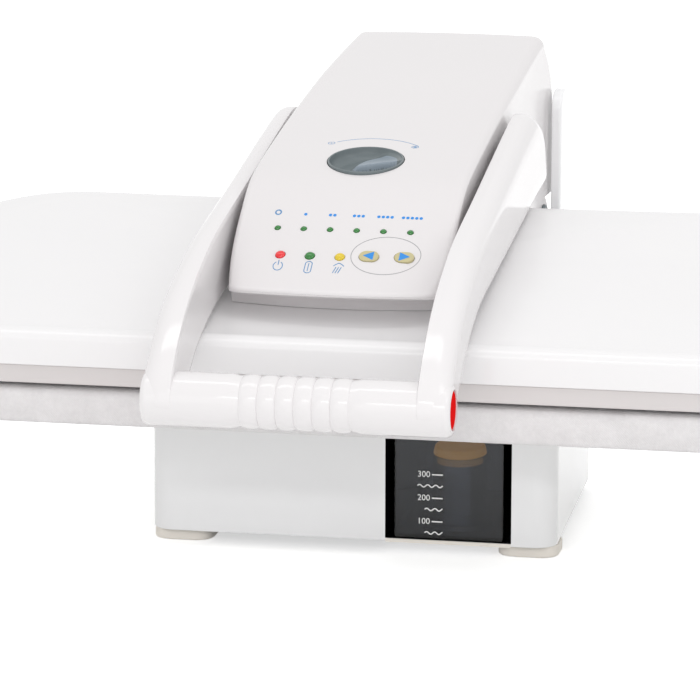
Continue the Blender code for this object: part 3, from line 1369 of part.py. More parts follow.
def make_rear_cover(skins):
    """Rear cover with vent slots: the housing's own rear wall inside the opening's outline."""
    cover = housing_form("rear_cover", 0, skins["white"])
    cut(cover, housing_form("cavity", HOUSING_WALL, None, HOUSING_BOTTOM_Z - ARM_HEIGHT))
    near = HOUSING_REAR_Y - HOUSING_WALL * 3
    far = HOUSING_REAR_Y + HOUSING_LEAN * 2
    combine(cover, prism("outline", rear_outline(REAR_COVER_GAP), "Y", near, far, None), "INTERSECT")
    middle = (HOUSING_REAR_BOTTOM_Z + deck_height(HOUSING_REAR_Y) - REAR_OPENING_TOP) / 2
    slots = []
    for index in range(VENT_SLOT_COUNT):
        z = middle + VENT_SLOT_PITCH * (index - (VENT_SLOT_COUNT - 1) / 2)
        low = (-VENT_SLOT_WIDTH / 2, near, z - VENT_SLOT_HEIGHT / 2)
        high = (VENT_SLOT_WIDTH / 2, far, z + VENT_SLOT_HEIGHT / 2)
        slots.append(block("slot", low, high, None))
    return cut(cover, gathered("slots", slots))


# Panel fittings: control board, status lights, lamps, rotary control, knob and set buttons
BOARD_DROP = 0.0115
CIRCUIT_SIDE = 0.012
CIRCUIT_LENGTH = 0.048
CIRCUIT_THICKNESS = 0.0016
CIRCUIT_RUN = 0.037
LIGHT_BAR_WIDTH = 0.006
LIGHT_BAR_HEIGHT = 0.0036
LIGHT_PROUD = 0.0003
LAMP_PROUD = 0.0009
LENS_TOP_SHARE = 0.7
BUTTON_PROUD = 0.0020
BUTTON_CROWN_SHARES = (0.9, 0.86)
BUTTON_EDGE_SHARE = 0.6
KNOB_PROUD = 0.0008
KNOB_DEPTH = 0.0095
KNOB_DISH = 0.0050
BLADE_ROOT = 0.0015
KNOB_RIM = 0.0022
KNOB_FLOOR_RADIUS = 0.0175
BLADE_LENGTH = 0.040
BLADE_WIDTH = 0.0075
BLADE_TURN = math.radians(-35)
CONTROL_RADIUS = 0.012
CONTROL_HEIGHT = 0.014
CONTROL_SHAFT_RADIUS = 0.003
CONTROL_SHAFT = 0.0032


def circuit_place():
    spot = panel_spot(0, CIRCUIT_RUN)
    return placed(spot - PANEL_NORMAL * BOARD_DROP, PANEL_NORMAL)


def drop_to_board(spot):
    """Depth of the control board under a point of the panel, along the panel's normal."""
    face = panel_spot(0, CIRCUIT_RUN) - PANEL_NORMAL * BOARD_DROP
    return (spot - face).dot(PANEL_NORMAL)


def make_panel_fittings(skins):
    made = []
    place = circuit_place()
    half = HOUSING_WIDTH / 2 - CIRCUIT_SIDE
    reach = CIRCUIT_LENGTH / 2
    outline = ((-half, -reach), (half, -reach), (half, reach), (-half, reach))
    made.append(local_prism("control_board", outline, place, -CIRCUIT_THICKNESS, 0, skins["board_green"]))
    spots = led_spots()
    first = spots[0]
    bar_place = placed((0, first.y, first.z), PANEL_NORMAL)
    depth = drop_to_board(first)
    half = LED_PITCH * LED_COUNT / 2
    reach = LIGHT_BAR_WIDTH / 2
    bar_outline = ((-half, -reach), (half, -reach), (half, reach), (-half, reach))
    bar_low = SEAT_GAP - depth
    bar_high = bar_low + LIGHT_BAR_HEIGHT
    lights = local_prism("status_lights", bar_outline, bar_place, bar_low, bar_high, skins["green"])
    for spot in spots:
        pin = placed(spot, PANEL_NORMAL)
        start = bar_low + LIGHT_BAR_HEIGHT / 2 + depth - drop_to_board(spot)
        weld(lights, rod("pin", LED_RADIUS, pin, start, LIGHT_PROUD, None, TINY_SEGMENTS))
    made.append(lights)
    for name, x in zip(("red", "green", "yellow"), LAMP_X):
        spot = panel_spot(x, LAMP_RUN)
        low = SEAT_GAP - drop_to_board(spot)
        profile = (
            (0, low),
            (LAMP_RADIUS, low),
            (LAMP_RADIUS, LAMP_PROUD / 3),
            (LAMP_RADIUS * LENS_TOP_SHARE, LAMP_PROUD),
            (0, LAMP_PROUD),
        )
        made.append(turned(f"lamp_{name}", profile, placed(spot, PANEL_NORMAL), skins[name], SMALL_SEGMENTS))
    for (side, _), x in zip(SIDES, BUTTON_X):
        spot = panel_spot(x, BUTTON_RUN)
        place = placed(spot, PANEL_NORMAL)
        outline = oval_outline(BUTTON_LENGTH, BUTTON_WIDTH)
        low = SEAT_GAP + BUTTON_TRAVEL - drop_to_board(spot)
        crown = [(a * BUTTON_CROWN_SHARES[0], b * BUTTON_CROWN_SHARES[1]) for a, b in outline]
        rings = []
        edge = BUTTON_PROUD * BUTTON_EDGE_SHARE
        for shape, level in ((outline, low), (outline, edge), (crown, BUTTON_PROUD)):
            rings.append([place @ Vector((a, b, level)) for a, b in shape])
        button = skin(f"set_button_{side}", rings, skins["tan"])
        pin_origin(button, spot)
        made.append(button)
    knob_place = placed((0, KNOB_Y, deck_height(KNOB_Y)), (0, -math.sin(DECK_SLOPE), math.cos(DECK_SLOPE)))
    bore = CONTROL_SHAFT_RADIUS + PIN_CLEARANCE
    base = -KNOB_DEPTH
    profile = (
        (0, base),
        (KNOB_RADIUS - KNOB_RIM, base),
        (KNOB_RADIUS, -HOUSING_WALL),
        (KNOB_RADIUS, KNOB_PROUD / 2),
        (KNOB_RADIUS - KNOB_RIM / 2, KNOB_PROUD),
        (KNOB_RADIUS - KNOB_RIM, KNOB_PROUD),
        (KNOB_FLOOR_RADIUS, -KNOB_DISH),
        (0, -KNOB_DISH),
    )
    knob = turned("steam_knob", profile, knob_place, skins["grey"], ROUND_SEGMENTS + 8)
    turn = Matrix.Rotation(BLADE_TURN, 4, "Z")
    shape = oval_outline(BLADE_LENGTH, BLADE_WIDTH)
    blade = local_prism("blade", shape, knob_place @ turn, -KNOB_DISH - BLADE_ROOT, KNOB_PROUD, None)
    weld(knob, blade)
    socket = base + CONTROL_SHAFT
    cut(knob, rod("bore", bore, knob_place, base - OVERRUN, socket, None, SMALL_SEGMENTS))
    pin_origin(knob, knob_place.translation)
    made.append(knob)
    low = base - CONTROL_HEIGHT - SEAT_GAP
    shaft_top = socket - SEAT_GAP
    profile = (
        (0, low),
        (CONTROL_RADIUS, low),
        (CONTROL_RADIUS, base - SEAT_GAP),
        (CONTROL_SHAFT_RADIUS, base - SEAT_GAP),
        (CONTROL_SHAFT_RADIUS, shaft_top),
        (0, shaft_top),
    )
    made.append(turned("rotary_control", profile, knob_place, skins["dark"], SMALL_SEGMENTS))
    return made


# Yoke handle: two curved arms and the ribbed bar, moulded in one
BAR_RADIUS = 0.016
BAR_END_ROUND = 0.0035
BAR_RECESS = 0.0022
RIB_COUNT = 6
RIB_PITCH = 0.0108
RIB_HEIGHT = 0.0007
END_CAP_RADIUS = 0.0116
YOKE_REAR_REACH = 0.031
YOKE_TOP_Z = 0.251
ARM_TOP_SHARES = (
    (0.952, 0.894), (0.931, 0.959), (0.878, 1.000), (0.756, 0.939), (0.642, 0.870), (0.456, 0.756),
    (0.279, 0.650), (0.180, 0.553), (0.106, 0.455), (0.050, 0.350), (0.005, 0.236), (-0.019, 0.081),
)
ARM_BOTTOM_SHARES = (
    (0.997, 0.580), (0.973, 0.565), (0.910, 0.545), (0.769, 0.485), (0.637, 0.431), (0.464, 0.366),
    (0.313, 0.309), (0.220, 0.244), (0.146, 0.163), (0.103, 0.089), (0.066, 0.010), (0.021, -0.057),
)
ARM_SECTION_SHARES = (
    (0.00, 0.04), (0.06, 0.00), (0.35, 0.00), (0.62, 0.03), (0.85, 0.11), (1.00, 0.26), (1.00, 0.80),
    (0.90, 0.93), (0.72, 1.00), (0.10, 1.00), (0.00, 0.96),
)
ARM_SPREAD_SHARES = (0.84, 0.84, 0.84, 0.84, 0.84, 0.85, 0.87, 0.90, 0.93, 0.93, 0.87, 0.85)


def make_yoke(skins):
    span = HANDLE_PIVOT_Y + YOKE_REAR_REACH - HANDLE_REACH_Y
    height = YOKE_TOP_Z - HANDLE_BAR_Z
    inner = YOKE_INNER_WIDTH / 2
    width = YOKE_ARM_WIDTH
    ends = YOKE_OUTER_WIDTH / 2
    place = placed((0, HANDLE_REACH_Y, HANDLE_BAR_Z), RIGHT, UP)
    profile = [(0, -ends + BAR_RECESS), (END_CAP_RADIUS + SEAT_GAP, -ends + BAR_RECESS)]
    profile += [(END_CAP_RADIUS + SEAT_GAP, -ends), (BAR_RADIUS - BAR_END_ROUND, -ends)]
    profile += [(BAR_RADIUS - BAR_END_ROUND / 3, -ends + BAR_END_ROUND / 3)]
    profile += [(BAR_RADIUS, -ends + BAR_END_ROUND)]
    steps = RIB_COUNT * 2
    for step in range(steps + 1):
        x = RIB_PITCH * RIB_COUNT * (step / steps - 0.5)
        wave = (1 - math.cos(math.tau * RIB_COUNT * step / steps)) / 2
        profile.append((BAR_RADIUS - RIB_HEIGHT * (1 - wave), x))
    tail = [(radius, -x) for radius, x in reversed(profile[:6])]
    yoke = turned("yoke_handle", profile + tail, place, skins["white"])
    for _, sign in SIDES:
        rings = []
        for upper, lower, spread in zip(ARM_TOP_SHARES, ARM_BOTTOM_SHARES, ARM_SPREAD_SHARES):
            top = Vector((0, HANDLE_REACH_Y + span * upper[0], HANDLE_BAR_Z + height * upper[1]))
            low = Vector((0, HANDLE_REACH_Y + span * lower[0], HANDLE_BAR_Z + height * lower[1]))
            ring = []
            for across, down in ARM_SECTION_SHARES:
                spot = top.lerp(low, down)
                ring.append((sign * (inner + width * spread * across), spot.y, spot.z))
            rings.append(ring)
        weld(yoke, skin("arm", rings, None))
    reach = inner + width / 2
    radius = CROSS_SHAFT_RADIUS + PIN_CLEARANCE
    cut(yoke, cross_rod("bore", radius, HANDLE_PIVOT_Y, HANDLE_PIVOT_Z, -reach, reach, None))
    pin_origin(yoke, (0, HANDLE_PIVOT_Y, HANDLE_PIVOT_Z))
    return yoke


LEVER_SIDE_GAP = 0.0085
LEVER_THICKNESS = 0.004
LEVER_PIVOT_RADIUS = 0.010
LEVER_PIN_RADIUS = 0.007
CRANK_SETBACK = 0.0327
CRANK_DROP = 0.0079
LINK_GAP = 0.0005
LINK_THICKNESS = 0.004
LINK_EYE_RADIUS = 0.0075
LINK_PIN_RADIUS = 0.003
LINK_PIN_HEAD = 0.0045
LINK_PIN_HEAD_THICKNESS = 0.0010
LEVER_INNER_X = CHEEK_INNER_X - LEVER_SIDE_GAP - LEVER_THICKNESS
CRANK_Y = HANDLE_PIVOT_Y + CRANK_SETBACK
CRANK_Z = HANDLE_PIVOT_Z - CRANK_DROP


def make_mechanism(skins):
    made = []
    pivot = (HANDLE_PIVOT_Y, HANDLE_PIVOT_Z)
    crank = (CRANK_Y, CRANK_Z)
    anchor = (ANCHOR_Y, ANCHOR_Z)
    lever_outer = LEVER_INNER_X + LEVER_THICKNESS
    link_inner = lever_outer + LINK_GAP
    link_outer = link_inner + LINK_THICKNESS
    reach = (YOKE_INNER_WIDTH + YOKE_ARM_WIDTH) / 2 - SEAT_GAP
    shaft = cross_rod("cross_shaft", CROSS_SHAFT_RADIUS, *pivot, -reach, reach, skins["steel"])
    pin_origin(shaft, (0, *pivot))
    made.append(shaft)
    for side, sign in SIDES:
        left, right = sorted((sign * LEVER_INNER_X, sign * lever_outer))
        lever_shape = strap_outline(pivot, LEVER_PIVOT_RADIUS, crank, LEVER_PIN_RADIUS)
        lever = prism(f"toggle_lever_{side}", lever_shape, "X", left, right, skins["steel"])
        for radius, (y, z) in ((CROSS_SHAFT_RADIUS, pivot), (LINK_PIN_RADIUS, crank)):
            hole = radius + PIN_CLEARANCE
            cut(lever, cross_rod("hole", hole, y, z, left - OVERRUN, right + OVERRUN, None))
        pin_origin(lever, (0, *pivot))
        made.append(lever)
        left, right = sorted((sign * link_inner, sign * link_outer))
        link_shape = strap_outline(crank, LINK_EYE_RADIUS, anchor, LINK_EYE_RADIUS)
        link = prism(f"toggle_link_{side}", link_shape, "X", left, right, skins["steel"])
        for radius, (y, z) in (
            (LINK_PIN_RADIUS + RUNNING_CLEARANCE, crank),
            (ANCHOR_PIN_RADIUS + LINK_EYE_CLEARANCE, anchor),
        ):
            cut(link, cross_rod("eye", radius, y, z, left - OVERRUN, right + OVERRUN, None))
        pin_origin(link, (0, *crank))
        made.append(link)
    head_in = link_outer + SEAT_GAP
    head_out = head_in + LINK_PIN_HEAD_THICKNESS
    half_profile = [(LINK_PIN_RADIUS, head_in), (LINK_PIN_HEAD, head_in)]
    half_profile += [(LINK_PIN_HEAD, head_out), (0, head_out)]
    profile = [(radius, -x) for radius, x in reversed(half_profile)] + half_profile
    pin = turned("link_pin", profile, placed((0, *crank), RIGHT, UP), skins["steel"])
    pin_origin(pin, (0, *pivot))
    made.append(pin)
    for side, sign in SIDES:
        low = YOKE_OUTER_WIDTH / 2 - BAR_RECESS + SEAT_GAP
        high = YOKE_OUTER_WIDTH / 2 - SEAT_GAP
        place = placed((0, HANDLE_REACH_Y, HANDLE_BAR_Z), RIGHT * sign, UP)
        cap = rod(f"grip_cap_{side}", END_CAP_RADIUS, place, low, high, skins["red"])
        pin_origin(cap, (0, *pivot))
        made.append(cap)
    return made


def make_materials():
    plain = {
        "white": ((0.90, 0.90, 0.89), 0.28),
        "shell": ((0.87, 0.88, 0.92), 0.25),
        "beige": ((0.80, 0.74, 0.62), 0.45),
        "cream": ((0.85, 0.80, 0.66), 0.60),
        "cloth": ((0.83, 0.83, 0.83), 0.90),
        "foam": ((0.85, 0.80, 0.55), 0.95),
        "grey": ((0.50, 0.52, 0.56), 0.40),
        "dark": ((0.06, 0.06, 0.07), 0.50),
        "tan": ((0.62, 0.50, 0.30), 0.45),
        "red": ((0.80, 0.08, 0.06), 0.35),
        "green": ((0.10, 0.65, 0.25), 0.30),
        "yellow": ((0.90, 0.80, 0.10), 0.30),
        "board_green": ((0.05, 0.25, 0.12), 0.50),
    }
    skins = {name: material(name, color, roughness) for name, (color, roughness) in plain.items()}
    skins["steel"] = material("steel", (0.60, 0.60, 0.61), 0.35, 1.0)
    skins["aluminium"] = material("aluminium", (0.78, 0.78, 0.79), 0.30, 1.0)
    skins["brass"] = material("brass", (0.75, 0.60, 0.30), 0.35, 1.0)
    skins["clear"] = material("clear", (0.45, 0.45, 0.50), 0.08, 0.0, 0.4)
    return skins


def main():
    for thing in list(bpy.data.objects):
        bpy.data.objects.remove(thing)
    skins = make_materials()
    make_base(skins)
    make_floor_plate(skins)
    make_feet(skins)
    make_tower(skins)
    make_tower_plate(skins)
    make_inlet(skins)
    make_hinge(skins)
    make_hinge_caps(skins)
    make_board(skins)
    make_tank(skins)
    make_water_path(skins)
    make_heating_plate(skins)
    make_plate_fittings(skins)
    make_plate_rim(skins)
    make_head_shell(skins)
    make_head_frame(skins)
    make_housing(skins)
    make_rear_cover(skins)
    make_panel_fittings(skins)
    make_yoke(skins)
    make_mechanism(skins)


main()
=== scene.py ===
"""Steam ironing press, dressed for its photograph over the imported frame.

The file is laid out as an add-on: sizes, finishes and the stage are property groups, each piece or
group of like pieces is an operator, and main calls them in order. Metres, +Z up, front at -Y.
"""
import json
import math

import bmesh
import bpy
import numpy as np
from bpy.props import FloatProperty, FloatVectorProperty, IntProperty
from mathutils import Matrix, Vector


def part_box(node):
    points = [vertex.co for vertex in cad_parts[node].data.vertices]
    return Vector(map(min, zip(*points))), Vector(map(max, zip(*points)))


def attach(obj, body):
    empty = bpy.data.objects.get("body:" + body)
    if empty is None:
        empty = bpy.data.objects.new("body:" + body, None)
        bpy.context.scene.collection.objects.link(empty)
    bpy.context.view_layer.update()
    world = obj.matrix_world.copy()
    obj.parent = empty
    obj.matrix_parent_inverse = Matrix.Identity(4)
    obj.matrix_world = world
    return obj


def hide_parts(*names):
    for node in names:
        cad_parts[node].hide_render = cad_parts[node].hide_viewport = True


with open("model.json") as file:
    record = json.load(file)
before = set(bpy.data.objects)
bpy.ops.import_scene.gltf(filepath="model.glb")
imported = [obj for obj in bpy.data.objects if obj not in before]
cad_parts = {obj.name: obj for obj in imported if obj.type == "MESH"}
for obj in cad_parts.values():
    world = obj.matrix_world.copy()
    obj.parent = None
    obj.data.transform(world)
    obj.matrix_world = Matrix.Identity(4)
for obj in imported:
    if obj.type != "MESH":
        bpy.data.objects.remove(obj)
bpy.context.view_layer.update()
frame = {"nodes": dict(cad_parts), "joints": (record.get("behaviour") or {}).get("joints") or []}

bl_info = {
    "name": "Steam ironing press",
    "version": (1, 0, 0),
    "blender": (4, 5, 0),
    "location": "View3D > Sidebar > Press",
    "description": "Builds the visible pieces and finishes of a table-top steam press",
    "category": "Add Mesh",
}


def corners(node):
    """Lowest and highest corner of a CAD node as two arrays."""
    low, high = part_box(node)
    return np.array(low), np.array(high)


def joint_spot(name):
    """Point on a joint's axis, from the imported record."""
    return np.array(next(joint["pos_m"] for joint in frame["joints"] if joint["name"] == name))


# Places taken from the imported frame
BOARD_LOW, BOARD_HIGH = corners("board_cover")
HEAD_LOW = corners("head_shell")[0]
HOUSING_LOW = corners("control_housing")[0]
BASE_LOW, BASE_HIGH = corners("base_housing")
TOWER_LOW, TOWER_HIGH = corners("rear_tower")
RIM_LOW, RIM_HIGH = corners("plate_rim")
TANK_LOW, TANK_HIGH = corners("water_tank")
LID_HIGH = corners("tank_lid")[1]
TUBE_LOW, TUBE_HIGH = corners("filter_tube")
HINGE = joint_spot("head_hinge")
PIVOT = joint_spot("handle_pivot")
BOARD_LENGTH, BOARD_DEPTH = (BOARD_HIGH - BOARD_LOW)[:2]
BOARD_FRONT_Y = BOARD_LOW[1]
PANEL_EDGE_Y = HOUSING_LOW[1]
SEAT_GAP = 0.0003
OVERRUN = 0.004


def length(name, description, default, largest=1.0):
    return FloatProperty(
        name=name, description=description, default=default, min=0.0, max=largest, unit="LENGTH", precision=4
    )


def angle(name, description, degrees):
    return FloatProperty(name=name, description=description, default=math.radians(degrees), subtype="ANGLE")


def colour(name, description, default):
    return FloatVectorProperty(
        name=name, description=description, default=default, size=3, min=0.0, max=1.0, subtype="COLOR"
    )


def amount(name, description, default, largest=1.0):
    return FloatProperty(name=name, description=description, default=default, min=0.0, max=largest)


class PressSizes(bpy.types.PropertyGroup):
    """Sizes of the visible forms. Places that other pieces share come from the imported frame."""

    board_corner: length("Board corner", "Plan radius of the board's and the head's corners", 0.090)
    pad_swell: length("Pad swell", "Most that the pad's cloth may move when it is blown up", 0.006, 0.02)
    pad_voxel: length("Pad cell", "Cell size of the pad's remesh before the cloth simulation", 0.005, 0.02)
    shell_front_edge: length("Head front edge", "Radius of the head shell's front edge", 0.011)
    shell_back_edge: length("Head back edge", "Radius of the head shell's back edge", 0.018)
    shell_crown: length("Head crown", "Rise of the head's top towards its middle", 0.0015)
    panel_slope: angle("Panel slope", "Slope of the control panel", 33)
    deck_slope: angle("Deck slope", "Slope of the deck behind the panel", 10.5)
    bend_softness: length("Bend softness", "Softness of the bend between panel and deck", 0.006)
    housing_width: length("Housing width", "Width of the control housing at its shoulders", 0.136)
    housing_shoulder: length("Housing shoulder", "Radius along the housing's upper side edges", 0.0050)
    knob_dish: length("Knob dish", "Depth of the dish in the steam knob", 0.0070)
    bar_radius: length("Bar radius", "Radius of the handle's bar", 0.016)
    rib_height: length("Rib height", "Height of the ribs on the handle's grip", 0.0013)
    rib_count: IntProperty(name="Ribs", description="Number of ribs on the grip", default=6, min=1, max=20)
    base_edge: length("Base edge", "Radius along the base's upper edge", 0.0018)
    mark_lift: length("Mark thickness", "How far the printed marks stand on the panel", 0.00006, 0.001)


class PressFinishes(bpy.types.PropertyGroup):
    """Colours of the finishes."""

    white: colour("White plastic", "Housing, handle, base and tower", (0.815, 0.795, 0.80))
    # A warmer, darker copy of the white plastic for the housing; the darkness is painted shade
    housing: colour("Housing plastic", "Control housing, a warmer white", (0.765, 0.740, 0.745))
    shell: colour("Shell plastic", "Head shell, a cooler white", (0.855, 0.845, 0.85))
    # Brighter copy of the white plastic: painted light on the base and the tower, which the board shades
    base_white_painted_light: colour("Base plastic", "Base and tower, a brighter white", (0.95, 0.95, 0.96))
    beige: colour("Plate rim", "Heat resistant rim round the plate", (0.685, 0.65, 0.645))
    cream: colour("Feet and sill", "Cream rubber", (0.95, 0.90, 0.83))
    cloth: colour("Pad cloth", "Felted cotton of the pad", (0.81, 0.79, 0.795))
    grey: colour("Knob grey", "Steam knob and hinge caps", (0.17, 0.20, 0.21))
    # Paler tone painted on the knob's raised wing: painted light, since the wing is the knob's own grey
    # plastic
    knob_wing_painted_light: colour("Knob wing", "Raised wing of the steam knob", (0.29, 0.345, 0.40))
    dark: colour("Dark plastic", "Tank bay and fittings", (0.005, 0.005, 0.007))
    tan: colour("Button tan", "Set buttons and filter cap", (0.56, 0.50, 0.27))
    red: colour("Red caps", "Caps in the bar's ends", (0.78, 0.012, 0.012))
    smoke: colour("Smoked tank", "Tint of the clear tank", (0.40, 0.43, 0.50))
    tube: colour("Filter tube", "Tint of the filter tube", (0.50, 0.52, 0.58))
    # Dark navy painted where the tube's wall is seen edge on: painted shade for the dark edges that
    # refraction gives
    tube_edge_painted_shade: colour("Filter tube edge", "Tint of the tube's wall seen edge on", (0.002, 0.018, 0.10))
    filter_tan: colour("Filter cap", "Cap inside the tank", (0.62, 0.30, 0.045))
    azure: colour("Azure marks", "Arrows and setting dots", (0.02, 0.26, 0.72))
    steel_blue: colour("Line marks", "Thin symbols on the panel", (0.09, 0.26, 0.50))
    grey_print: colour("Grey marks", "Ring round the set buttons", (0.34, 0.34, 0.35))
    scale_print: colour("Scale marks", "Level scale on the tank", (0.90, 0.90, 0.90))
    lamp_red: colour("Red lamp", "Power lamp", (0.66, 0.01, 0.015))
    lamp_green: colour("Green lamp", "Heat lamp", (0.004, 0.17, 0.012))
    lamp_yellow: colour("Yellow lamp", "Steam lamp", (0.60, 0.44, 0.004))


class PressStage(bpy.types.PropertyGroup):
    """Camera, lamps and floor."""

    camera_yaw: angle("Camera yaw", "Turn of the view to the object's right", 11.23)
    camera_pitch: angle("Camera pitch", "How far the view looks down", 11.74)
    camera_roll: angle("Camera roll", "Tilt of the picture", 0.115)
    camera_distance: length("Camera distance", "From the aimed point to the camera", 2.541, 10)
    focal_pixels: amount("Focal length", "Focal length in pixels of a 700 pixel picture", 4047, 20000)
    world_light: amount("World light", "Strength of the even light from all round", 0.82, 10)
    top_light: amount("Top lamp", "Power of the broad lamp above", 4.2, 1000)
    front_light: amount("Front lamp", "Power of the lamp in front", 6.5, 1000)
    fill_light: amount("Fill lamp", "Power of the broad lamp in front", 5.0, 1000)
    side_light: amount("Side lamp", "Power of the lamp at the upper right", 2.8, 1000)
    floor_lift: amount("Floor lift", "What the camera sees added to the floor's own white", 0.55, 10)


def sizes():
    return bpy.context.scene.press_sizes


def finishes():
    return bpy.context.scene.press_finishes


def stage_settings():
    return bpy.context.scene.press_stage


# Curves and outlines


def softened(points, radii, steps=6, closed=False):
    """Polyline with soft corners: each corner becomes a parabola between the two points that lie
    the given reach before and after it, (1-t)^2 start + 2t(1-t) corner + t^2 end."""
    points = np.asarray(points, float)
    before = np.roll(points, 1, axis=0)
    after = np.roll(points, -1, axis=0)
    if not closed:
        before[0] = points[0]
        after[-1] = points[-1]
    reach = np.broadcast_to(np.asarray(radii, float), len(points))[:, None]

    def towards(other):
        gap = other - points
        return gap / np.maximum(np.linalg.norm(gap, axis=1, keepdims=True), 1e-12)

    start = points + towards(before) * reach
    end = points + towards(after) * reach
    t = np.linspace(0, 1, steps + 1)[None, :, None]
    curve = (1 - t) ** 2 * start[:, None] + 2 * t * (1 - t) * points[:, None] + t ** 2 * end[:, None]
    return curve.reshape(-1, points.shape[1])


def smooth_curve(points, count):
    """Catmull-Rom curve: a cubic between neighbours whose slope at a point is half the step from
    the point before to the point after."""
    points = np.asarray(points, float)
    if points.ndim == 1:
        points = points[:, None]
    padded = np.vstack([2 * points[0] - points[1], points, 2 * points[-1] - points[-2]])
    place = np.linspace(0, len(points) - 1, count)
    step = np.minimum(place.astype(int), len(points) - 2)
    t = (place - step)[:, None]
    a, b, c, d = (padded[step + shift] for shift in range(4))
    return (2 * b + (c - a) * t + (2 * a - 5 * b + 4 * c - d) * t ** 2 + (3 * b - a - 3 * c + d) * t ** 3) / 2


def rounded_rectangle(left, right, low, high, radius, turn=14, side=30):
    """Closed outline: each corner's centre plus the radius times (cos, sin) over a quarter turn,
    and evenly spread points along the sides between the quarters."""
    centres = np.array([
        (right - radius, high - radius), (left + radius, high - radius),
        (left + radius, low + radius), (right - radius, low + radius),
    ])
    angles = np.arange(4)[:, None] * (math.pi / 2) + np.linspace(0, math.pi / 2, turn + 1)[None, :]
    corner = centres[:, None, :] + radius * np.stack([np.cos(angles), np.sin(angles)], axis=-1)
    after = np.roll(corner[:, 0, :], -1, axis=0)[:, None, :]
    share = np.linspace(0, 1, side + 2)[None, 1:-1, None]
    straight = corner[:, -1:, :] * (1 - share) + after * share
    return np.concatenate([corner, straight], axis=1).reshape(-1, 2)


def oval(long_side, short_side, count=48):
    """Stadium outline: a half circle of the short side's radius at each end of the long side."""
    turn = np.linspace(0, 2 * math.pi, count, endpoint=False)
    shift = np.sign(np.cos(turn)) * (long_side - short_side) / 2
    return np.stack([np.cos(turn) * short_side / 2 + shift, np.sin(turn) * short_side / 2], axis=1)


def ellipse(half_long, half_short, count=96):
    """Ellipse: (long cos, short sin)."""
    turn = np.linspace(0, 2 * math.pi, count, endpoint=False)
    return np.stack([np.cos(turn) * half_long, np.sin(turn) * half_short], axis=1)


# Meshes from grids


def grid_mesh(name, grids):
    """Mesh of several grids of points. Each grid is (array of rows x columns x 3, closed around its
    columns, closed over its rows); neighbours are joined by quads and coinciding points merged."""
    points = []
    faces = []
    start = 0
    for grid, around, over in grids:
        rows, columns = grid.shape[:2]
        row = np.arange(rows if over else rows - 1)[:, None]
        column = np.arange(columns if around else columns - 1)[None, :]
        row_after = (row + 1) % rows
        column_after = (column + 1) % columns
        quads = np.stack([
            row * columns + column, row * columns + column_after,
            row_after * columns + column_after, row_after * columns + column,
        ], axis=-1)
        faces.append(quads.reshape(-1, 4) + start)
        points.append(grid.reshape(-1, 3))
        start += rows * columns
    points = np.concatenate(points)
    faces = np.concatenate(faces)
    mesh = bpy.data.meshes.new(name)
    mesh.vertices.add(len(points))
    mesh.vertices.foreach_set("co", points.astype(np.float32).ravel())
    mesh.loops.add(faces.size)
    mesh.loops.foreach_set("vertex_index", faces.astype(np.int32).ravel())
    mesh.polygons.add(len(faces))
    mesh.polygons.foreach_set("loop_start", np.arange(0, faces.size, 4, dtype=np.int32))
    mesh.update(calc_edges=True)
    tidy_mesh(mesh)
    return mesh


def tidy_mesh(mesh, merge=1e-6):
    """Merge doubles, drop collapsed faces and turn all faces outward."""
    work = bmesh.new()
    work.from_mesh(mesh)
    bmesh.ops.remove_doubles(work, verts=work.verts, dist=merge)
    bmesh.ops.dissolve_degenerate(work, edges=work.edges, dist=merge / 2)
    bmesh.ops.recalc_face_normals(work, faces=work.faces)
    work.to_mesh(mesh)
    work.free()
    mesh.update()


def new_object(name, mesh, materials=()):
    """Object with a mesh and its finishes, linked to the scene."""
    made = bpy.data.objects.new(name, mesh)
    bpy.context.scene.collection.objects.link(made)
    for finish in materials:
        mesh.materials.append(finish)
    return made


def finish_piece(piece, body, replaces=(), sharp=38.0):
    """Smooth the piece's round sides, set it on its body and hide the CAD nodes it replaces."""
    piece.data.shade_smooth()
    piece.data.set_sharp_from_angle(angle=math.radians(sharp))
    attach(piece, body)
    if replaces:
        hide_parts(*replaces)
    return piece


def piece_of(name, grids, finish, body, replaces=(), sharp=38.0):
    """Finished piece of one finish from its grids."""
    return finish_piece(new_object(name, grid_mesh(name, grids), [finish]), body, replaces, sharp)


def poled(grid):
    """Grid with a row at each end that gathers in the middle of the end row."""
    first = np.broadcast_to(grid[0].mean(axis=0), grid[0].shape)[None]
    last = np.broadcast_to(grid[-1].mean(axis=0), grid[-1].shape)[None]
    return np.concatenate([first, grid, last])


def at_height(outline, height):
    """Plan outline as a row of points at one height."""
    return np.column_stack([outline, np.full(len(outline), height)])


def levels(profile, outline_at):
    """Rows of a plan outline: for each (inset, height) the outline drawn in by the inset."""
    return np.stack([at_height(outline_at(inset), height) for inset, height in profile])


def place_at(spot, normal=(0, 0, 1), across=(1, 0, 0)):
    """Placement: origin and three axes, the third along the normal and the first near across."""
    up = np.asarray(normal, float)
    up = up / np.linalg.norm(up)
    side = np.asarray(across, float)
    side = side - up * side.dot(up)
    side = side / np.linalg.norm(side)
    return np.asarray(spot, float), np.stack([side, np.cross(up, side), up])


def put(points, place):
    """Local points carried to a placement."""
    origin, axes = place
    return points @ axes + origin


def lathe(profile, place, count=72, closed=False):
    """Turned grid: every (radius, height) of the profile carried round the placement's third axis."""
    profile = np.asarray(profile, float)
    turn = np.linspace(0, 2 * math.pi, count, endpoint=False)
    local = np.stack([
        profile[:, :1] * np.cos(turn), profile[:, :1] * np.sin(turn),
        np.broadcast_to(profile[:, 1:], (len(profile), count)),
    ], axis=-1)
    return put(local, place), True, closed


def rod(radius, low, high, place, count=40):
    """Round bar between two heights along a placement's third axis."""
    return lathe([(0, low), (radius, low), (radius, high), (0, high)], place, count)


def sideways(spot, sign=1):
    """Placement at a spot in Y and Z whose third axis points to the right or, with -1, the left."""
    return place_at((0, *spot), (sign, 0, 0), (0, 0, 1))


